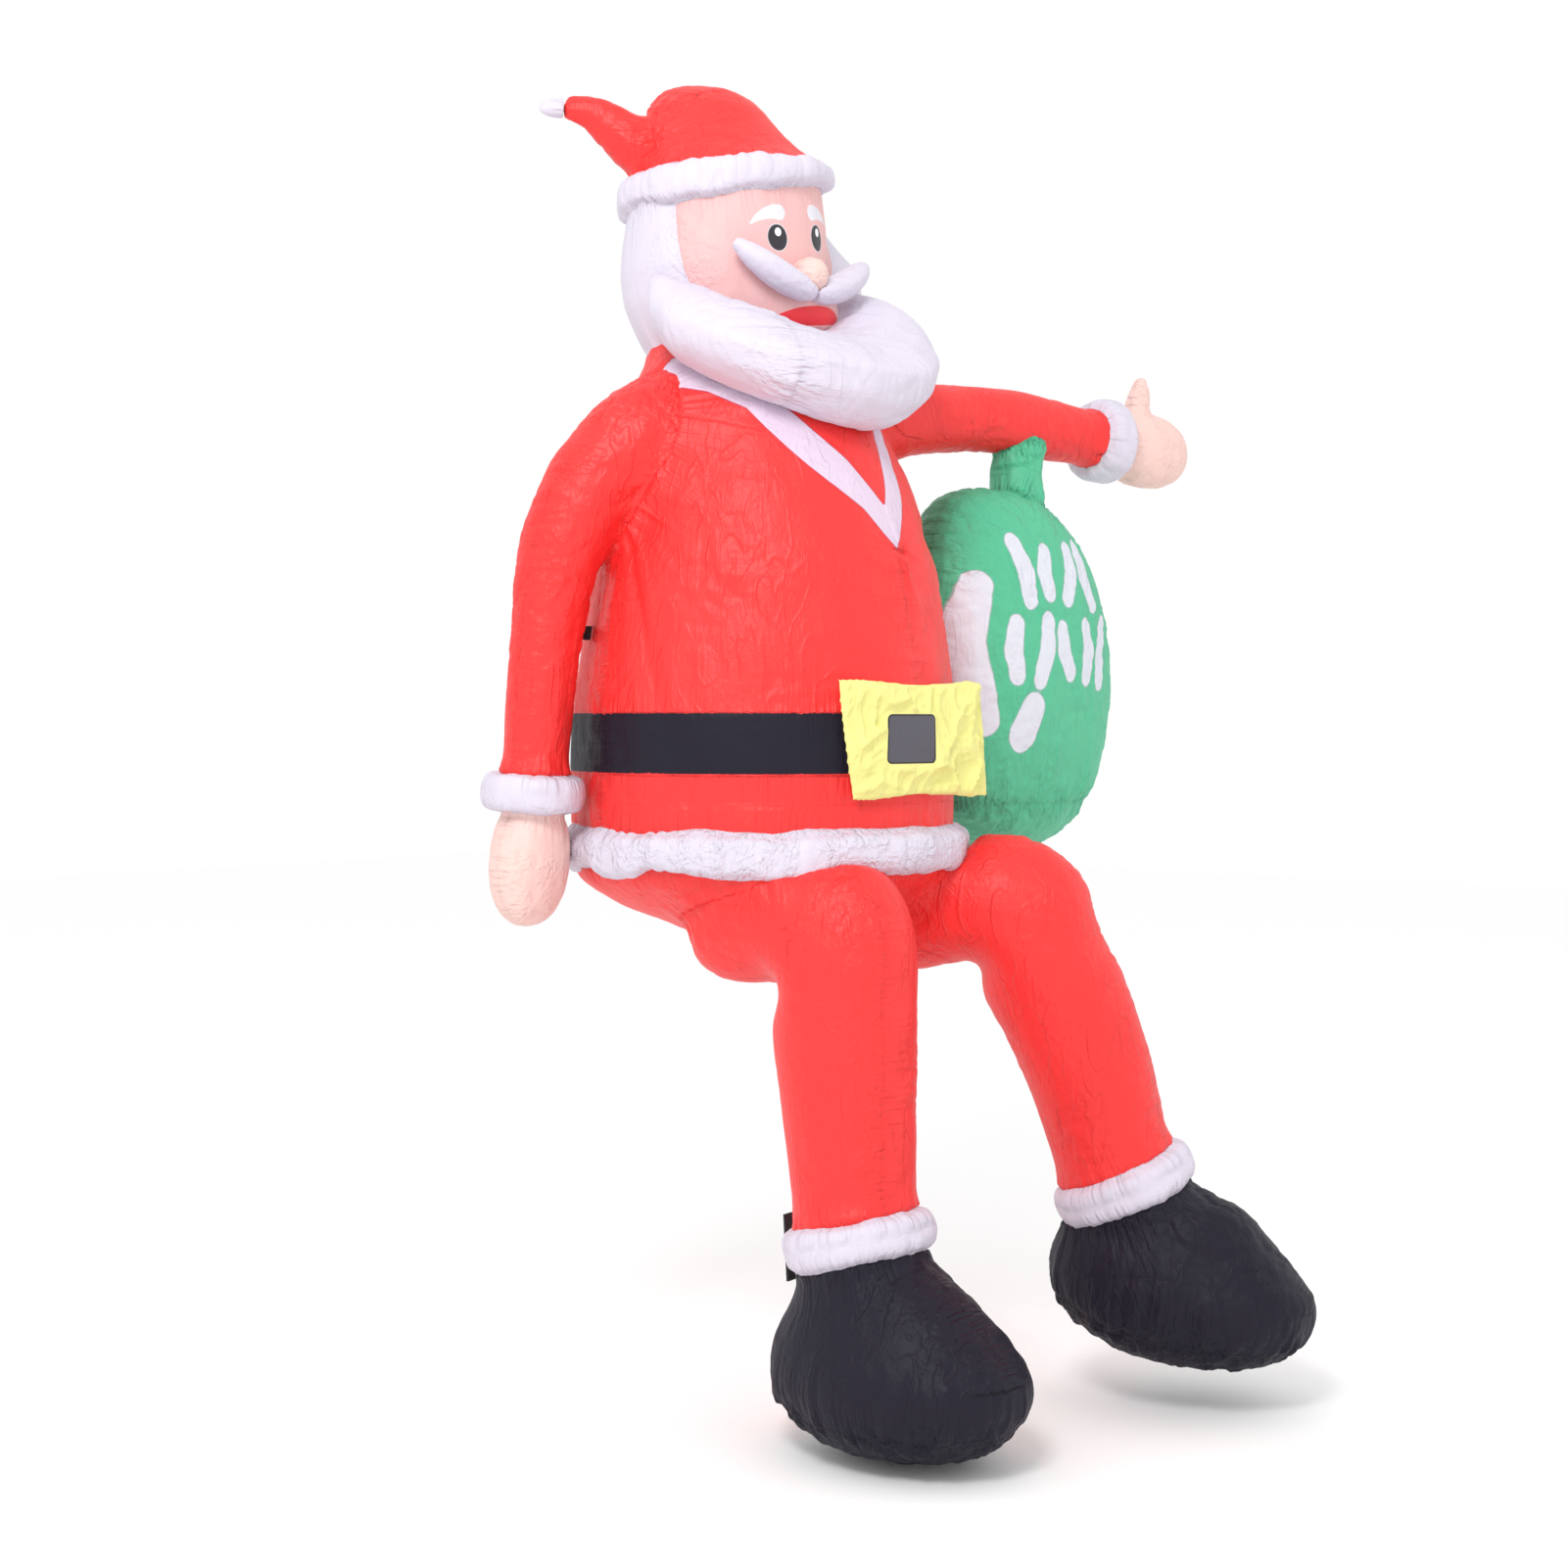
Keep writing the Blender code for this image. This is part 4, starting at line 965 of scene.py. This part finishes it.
def make_beard():
    """The beard's fat crescent, with its seams and long soft folds."""
    cloth = Cloth(["beard"], bpy.context.scene.cloth_sizes.fine_voxel, 70, ["head"])
    seam_turn = math.radians(30)
    way = np.array([-math.cos(seam_turn), math.sin(seam_turn), 0.0])
    field = (cloth.points - (0, HEAD_AXIS_Y, 0)) @ way
    near = np.abs(around(cloth.points, HEAD_AXIS_Y) - seam_turn) < math.radians(60)
    sew(cloth, "head", 0.8, 1.0, 1.0, salt=540)
    gather(cloth, seam_plane(cloth, field, way, near), 0.25, 1.3, 0.9, salt=530)
    crease(cloth, (0.03, 0.03, 0.07), 0.0024, 550)
    swell(cloth, 0.09, 0.0050, 560)
    finish_piece(cloth, "beard_cloth", cloth_material("Beard cloth"), "white")


def make_hat():
    """The hat's crown and floppy tail, and its white tip."""
    cloth = Cloth(["hat"], 0.0046, 60, ["hat_band"])
    way = np.array([0.80, -0.60, 0.0])
    field = (cloth.points - (-0.115, 0.31, 0)) @ way
    sew(cloth, "hat_band", 0.6, 1.0, 0.8, salt=610, level=0.3)
    sew(cloth, "hat_tip", 0.3, 1.2, 1.0, 0.8, 620)
    gather(cloth, seam_plane(cloth, field, way, cloth.points[:, 2] > 1.40), 0.7, 1.6, 0.9, salt=600)
    gather(cloth, seam_star(cloth, (-0.078, 0.222, 1.618), 0.02), 0.4, 1.2, 0.5, 0.7, 625)
    crease(cloth, (0.04, 0.04, 0.020), 0.0024, 630)
    swell(cloth, 0.10, 0.0030, 640)
    finish_piece(cloth, "hat_cloth", cloth_material("Red cloth"), "red")
    tip = Cloth(["hat_tip"], 0.0026, 8)
    sew(tip, "hat", 0.3, 0.6, 0.5, 0.7, 650)
    finish_piece(tip, "hat_tip_cloth", cloth_material("White cloth"), "white")


def make_sleeves():
    """Both sleeves, each with a seam along its outside."""
    for side in SIDES:
        cuff = "cuff_" + side
        cloth = Cloth(["sleeve_" + side], 0.0050, 90, ["coat", cuff], 110)
        sew(cloth, "coat", 0.45, 0.7, 1.2, 1.0, 710)
        sew(cloth, cuff, 0.6, 1.3, 0.8, salt=720)
        points = cloth.points
        if side == "right":
            armpit_x = -0.28
            line = np.interp(points[:, 2], *np.transpose(RIGHT_SEAM))
            outside = points[:, 0] < np.interp(points[:, 2], *np.transpose(RIGHT_OUTSIDE))
            seam = seam_plane(cloth, points[:, 1] - line, (0, 1.0, 0), outside)
        else:
            armpit_x = 0.27
            line = np.interp(points[:, 0], *np.transpose(LEFT_SEAM))
            seam = seam_plane(cloth, points[:, 2] - line, (0, 0, 1.0), points[:, 1] > 0.03)
        gather(cloth, seam, 0.45, 1.3, 0.8, salt=700)
        gather(cloth, seam_star(cloth, (armpit_x, 0.20, 0.87), 0.05), 0.0, 2.2, 1.8, 1.0, 735)
        crease(cloth, (0.035, 0.035, 0.03), 0.0026, 730)
        swell(cloth, 0.08, 0.0028, 740)
        finish_piece(cloth, "sleeve_%s_cloth" % side, cloth_material("Red cloth"), "red")


def make_hands():
    """Both mittens, with a seam round the edge of each palm."""
    material = cloth_material("Mitten cloth")
    for side in SIDES:
        cuff = "cuff_" + side
        cloth = Cloth(["hand_" + side], 0.0040, 30, [cuff])
        sew(cloth, cuff, 0.8, 1.0, 0.7, salt=750)
        middle = node_middle("hand_" + side)
        field = cloth.points[:, 1] - middle.y
        gather(cloth, seam_plane(cloth, field, (0, 1.0, 0)), 0.35, 0.8, 0.5, 0.8, 755)
        crease(cloth, (0.03, 0.03, 0.03), 0.0010, 760)
        finish_piece(cloth, "hand_%s_cloth" % side, material, "skin")


def make_legs():
    """Both trouser legs, with a seam down each shin and gathers at the hips and ankles."""
    for side in SIDES:
        cuff = "ankle_cuff_" + side
        cloth = Cloth(["leg_" + side], 0.0058, 110, ["coat", cuff], 80)
        ankle = node_middle(cuff)
        sew(cloth, "coat", 0.4, 1.6, 1.2, 1.1, 810)
        sew(cloth, cuff, 0.6, 1.2, 0.8, salt=820)
        if side == "right":
            field = cloth.points[:, 0] + 0.208
            way = np.array([1.0, 0, 0])
        else:
            way = np.array([0.93, 0.36, 0.0])
            field = (cloth.points - ankle) @ way + 0.03
        front = (cloth.points[:, 1] < ankle.y + 0.05) | (cloth.points[:, 2] > 0.12)
        gather(cloth, seam_plane(cloth, field, way, front), 0.45, 1.0, 0.9, salt=800)
        crease(cloth, (0.05, 0.05, 0.022), 0.0028, 830)
        swell(cloth, 0.10, 0.0038, 840)
        finish_piece(cloth, "leg_%s_cloth" % side, cloth_material("Red cloth"), "red")


def make_boots():
    """Both boots, gathered up from the sole seam, with a seam along the top."""
    material = cloth_material("Black boot cloth")
    for side in SIDES:
        cuff = "ankle_cuff_" + side
        cloth = Cloth(["boot_" + side], 0.0056, 130, [cuff])
        middle = node_middle("boot_" + side)
        toe = Vector((0.0, -1.0, 0.0)) if side == "right" else Vector((0.36, -0.93, -0.14)).normalized()
        across = np.array(toe.cross(Vector((0, 0, 1))).normalized())
        up = np.cross(across, np.array(toe))
        sew(cloth, cuff, 0.6, 1.3, 0.7, salt=920)
        sole = (cloth.points - middle) @ up + 0.105
        gather(cloth, seam_plane(cloth, sole, up), 0.5, 2.6, 1.5, 1.15, 910)
        field = (cloth.points - middle) @ across
        top = (cloth.points - middle) @ up > -0.02
        gather(cloth, seam_plane(cloth, field, across, top), 0.5, 0.9, 0.8, salt=900)
        crease(cloth, (0.045, 0.045, 0.03), 0.0036, 930)
        swell(cloth, 0.10, 0.0038, 940)
        finish_piece(cloth, "boot_%s_cloth" % side, material, "black")


def sack_strokes(across, up):
    """Rows of short thick strokes beside a tall one, as distance from their outlines."""
    best = np.minimum(*(taper(across, up, path) for path in SACK_TALL))
    for row, (level, tall, count, start) in enumerate(SACK_ROWS):
        for step in range(count):
            x = start + step * STROKE_GAP
            lean = 0.014 * ((step + row) % 3 - 1)
            half = tall / 2 - 0.016 * ((step * 2 + row) % 3) / 2
            bow = 0.010 * (1 - 2 * ((step + row) % 2))
            path = [(x - lean, level - half, 0.020), (x + bow, level, 0.023), (x + lean, level + half, 0.019)]
            best = np.minimum(best, taper(across, up, path))
    return best


def make_sack():
    """The green sack and its gathered neck, with rows of white strokes printed on its front."""
    cloth = Cloth(["sack"], 0.0056, 90, ["coat"], 20)
    middle = node_middle("sack")
    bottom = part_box("sack")[0].z + 0.095
    sew(cloth, "coat", 1.0, 1.4, 1.3, 1.1, 1020)
    sew(cloth, "sack_neck", 0.6, 2.2, 1.6, 1.2, 1010)
    edge = seam_plane(cloth, cloth.points[:, 1] - middle.y, (0, 1.0, 0))
    gather(cloth, edge, 0.5, 2.1, 1.8, 1.0, 1000)
    front = cloth.points[:, 1] < middle.y
    foot = seam_plane(cloth, cloth.points[:, 2] - bottom, (0, 0, 1.0), front)
    gather(cloth, foot, 0.6, 2.4, 1.3, 1.0, 1030)
    crease(cloth, (0.06, 0.06, 0.03), 0.0034, 1040)
    swell(cloth, 0.13, 0.0050, 1050)
    across = cloth.points[:, 0] - 0.60
    strokes = sack_strokes(across, cloth.points[:, 2] - 0.62)
    cloth.values["strokes"] = np.where(front, strokes, 1.0)
    material = cloth_material("Green sack cloth", (
        ("strokes", (0.30, 0.42, 0.38), 0.0012),
        ("strokes", (0.67, 0.69, 0.76), -0.0008),
    ))
    finish_piece(cloth, "sack_cloth", material, "green")
    neck = Cloth(["sack_neck"], 0.0042, 30, ["sack", "sleeve_left"])
    sew(neck, "sack", 0.6, 2.0, 1.6, 1.0, 1060)
    sew(neck, "sleeve_left", 0.6, 2.0, 1.2, 1.0, 1070)
    finish_piece(neck, "sack_neck_cloth", cloth_material("Green neck cloth"), "green")


def make_webbing():
    """The webbing tab and the ankle strap keep their solids and get a woven finish."""
    material = webbing_material()
    for node in ("tether_tab", "ankle_strap"):
        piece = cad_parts[node]
        piece.data.materials.clear()
        piece.data.materials.append(material)


def make_stage():
    """A pale floor, white surroundings, soft lights and the camera."""
    scene = bpy.context.scene
    studio = scene.studio_sizes
    scene.view_settings.view_transform = "Standard"
    world = bpy.data.worlds.new("White studio")
    scene.world = world
    world.use_nodes = True
    sky = world.node_tree.nodes["Background"]
    sky.inputs["Color"].default_value = (1.0, 1.0, 1.0, 1.0)
    sky.inputs["Strength"].default_value = studio.daylight

    mesh = bpy.data.meshes.new("floor")
    size = 14.0
    mesh.from_pydata([(x * size, y * size, FLOOR_Z) for x, y in ((-1, -1), (1, -1), (1, 1), (-1, 1))],
                     [], [(0, 1, 2, 3)])
    floor = linked("floor", mesh)
    pale, _, shader = new_material("Pale floor")
    shader.inputs["Base Color"].default_value = (0.985, 0.985, 0.985, 1.0)
    shader.inputs["Roughness"].default_value = 0.9
    mesh.materials.append(pale)

    lights = (("key", (-3.4, -1.6, 3.4), 1.3, 105.0), ("fill", (3.6, -3.0, 1.8), 3.0, 10.0))
    target = Vector((0.1, 0.0, 0.5))
    for name, place, wide, power in lights:
        data = bpy.data.lights.new(name, "AREA")
        data.size = wide
        data.energy = power
        lamp = linked(name, data)
        lamp.location = place
        lamp.rotation_euler = (target - Vector(place)).to_track_quat("-Z", "Y").to_euler()

    data = bpy.data.cameras.new("camera")
    frame_pixels, sensor = 1601.0, 36.0
    data.sensor_width = sensor
    data.lens = sensor * studio.focus_pixels / frame_pixels
    camera = linked("camera", data)
    turn = studio.azimuth
    upright_y, upright_pixel, horizon_pixel = 0.117, 785.0, 735.0
    camera.location = (-studio.distance * math.sin(turn), upright_y - studio.distance * math.cos(turn),
                       studio.height)
    half = frame_pixels / 2
    pitch = math.atan((half - horizon_pixel) / studio.focus_pixels)
    yaw = turn + math.atan((half - upright_pixel) / studio.focus_pixels)
    camera.rotation_euler = (math.pi / 2 - pitch, 0.0, -yaw)
    scene.camera = camera


# Operators, one for each piece or group of like pieces

class PieceOperator:
    """What the operators share."""
    bl_options = {"REGISTER"}


class SANTA_OT_coat(PieceOperator, bpy.types.Operator):
    """Make the coat's cloth with its printed collar, and the belt laid on it"""
    bl_idname = "santa.coat"
    bl_label = "Coat and belt"

    def execute(self, context):
        make_belt(make_coat())
        return {"FINISHED"}


class SANTA_OT_buckle(PieceOperator, bpy.types.Operator):
    """Make the crinkled yellow buckle panel"""
    bl_idname = "santa.buckle"
    bl_label = "Buckle"

    def execute(self, context):
        make_buckle()
        return {"FINISHED"}


class SANTA_OT_trims(PieceOperator, bpy.types.Operator):
    """Make the hem, the hat's band and the cuffs of white fur cloth"""
    bl_idname = "santa.trims"
    bl_label = "Fur trims"

    def execute(self, context):
        make_trim("hem_fur", "hem", ["coat"], 0.0050, salt=300, level=0.3)
        make_trim("hat_band_fur", "hat_band", ["hat", "head"], 0.0040, 0.9, salt=320, level=0.3)
        for side in SIDES:
            make_trim("cuff_%s_fur" % side, "cuff_" + side, ["sleeve_" + side, "hand_" + side], 0.0036, 0.7,
                      salt=340)
            make_trim("ankle_cuff_%s_fur" % side, "ankle_cuff_" + side, ["leg_" + side, "boot_" + side],
                      0.0042, 0.8, salt=360)
        return {"FINISHED"}


class SANTA_OT_head(PieceOperator, bpy.types.Operator):
    """Make the head with its printed face, and the nose"""
    bl_idname = "santa.head"
    bl_label = "Head and nose"

    def execute(self, context):
        make_head()
        make_nose()
        return {"FINISHED"}


class SANTA_OT_beard(PieceOperator, bpy.types.Operator):
    """Make the beard and both halves of the moustache"""
    bl_idname = "santa.beard"
    bl_label = "Beard and moustache"

    def execute(self, context):
        make_beard()
        make_moustache()
        return {"FINISHED"}


class SANTA_OT_hat(PieceOperator, bpy.types.Operator):
    """Make the hat and its white tip"""
    bl_idname = "santa.hat"
    bl_label = "Hat"

    def execute(self, context):
        make_hat()
        return {"FINISHED"}


class SANTA_OT_arms(PieceOperator, bpy.types.Operator):
    """Make the sleeves and mittens"""
    bl_idname = "santa.arms"
    bl_label = "Arms"

    def execute(self, context):
        make_sleeves()
        make_hands()
        return {"FINISHED"}


class SANTA_OT_legs(PieceOperator, bpy.types.Operator):
    """Make the trouser legs and boots"""
    bl_idname = "santa.legs"
    bl_label = "Legs and boots"

    def execute(self, context):
        make_legs()
        make_boots()
        return {"FINISHED"}


class SANTA_OT_sack(PieceOperator, bpy.types.Operator):
    """Make the green sack and its neck"""
    bl_idname = "santa.sack"
    bl_label = "Sack"

    def execute(self, context):
        make_sack()
        return {"FINISHED"}


class SANTA_OT_webbing(PieceOperator, bpy.types.Operator):
    """Give the webbing tab and the ankle strap their woven finish"""
    bl_idname = "santa.webbing"
    bl_label = "Webbing"

    def execute(self, context):
        make_webbing()
        return {"FINISHED"}


class SANTA_OT_stage(PieceOperator, bpy.types.Operator):
    """Set the floor, lights and camera"""
    bl_idname = "santa.stage"
    bl_label = "Stage"

    def execute(self, context):
        make_stage()
        return {"FINISHED"}


OPERATORS = (SANTA_OT_stage, SANTA_OT_coat, SANTA_OT_buckle, SANTA_OT_trims, SANTA_OT_head, SANTA_OT_beard,
             SANTA_OT_hat, SANTA_OT_arms, SANTA_OT_legs, SANTA_OT_sack, SANTA_OT_webbing)
GROUPS = {
    "cloth_colours": ClothColours,
    "cloth_sizes": ClothSizes,
    "face_print": FacePrint,
    "studio_sizes": StudioSizes,
}


class SANTA_PT_panel(bpy.types.Panel):
    """Lists the settings and the makers of the figure's pieces"""
    bl_label = "Inflatable Santa"
    bl_idname = "SANTA_PT_panel"
    bl_space_type = "VIEW_3D"
    bl_region_type = "UI"
    bl_category = "Santa"

    def draw(self, context):
        for name in GROUPS:
            box = self.layout.box()
            group = getattr(context.scene, name)
            for field in group.bl_rna.properties.keys():
                if field not in ("rna_type", "name"):
                    box.prop(group, field)
        for operator in OPERATORS:
            self.layout.operator(operator.bl_idname)


def register():
    """Make the settings, operators and panel known to Blender."""
    for name, group in GROUPS.items():
        bpy.utils.register_class(group)
        setattr(bpy.types.Scene, name, PointerProperty(type=group))
    for cls in OPERATORS + (SANTA_PT_panel,):
        bpy.utils.register_class(cls)


def unregister():
    """Take them out again."""
    for cls in reversed(OPERATORS + (SANTA_PT_panel,)):
        bpy.utils.unregister_class(cls)
    for name, group in reversed(GROUPS.items()):
        delattr(bpy.types.Scene, name)
        bpy.utils.unregister_class(group)


def main():
    """Make every piece."""
    register()
    for operator in OPERATORS:
        group, name = operator.bl_idname.split(".")
        getattr(getattr(bpy.ops, group), name)()


if __name__ == "__main__":
    main()
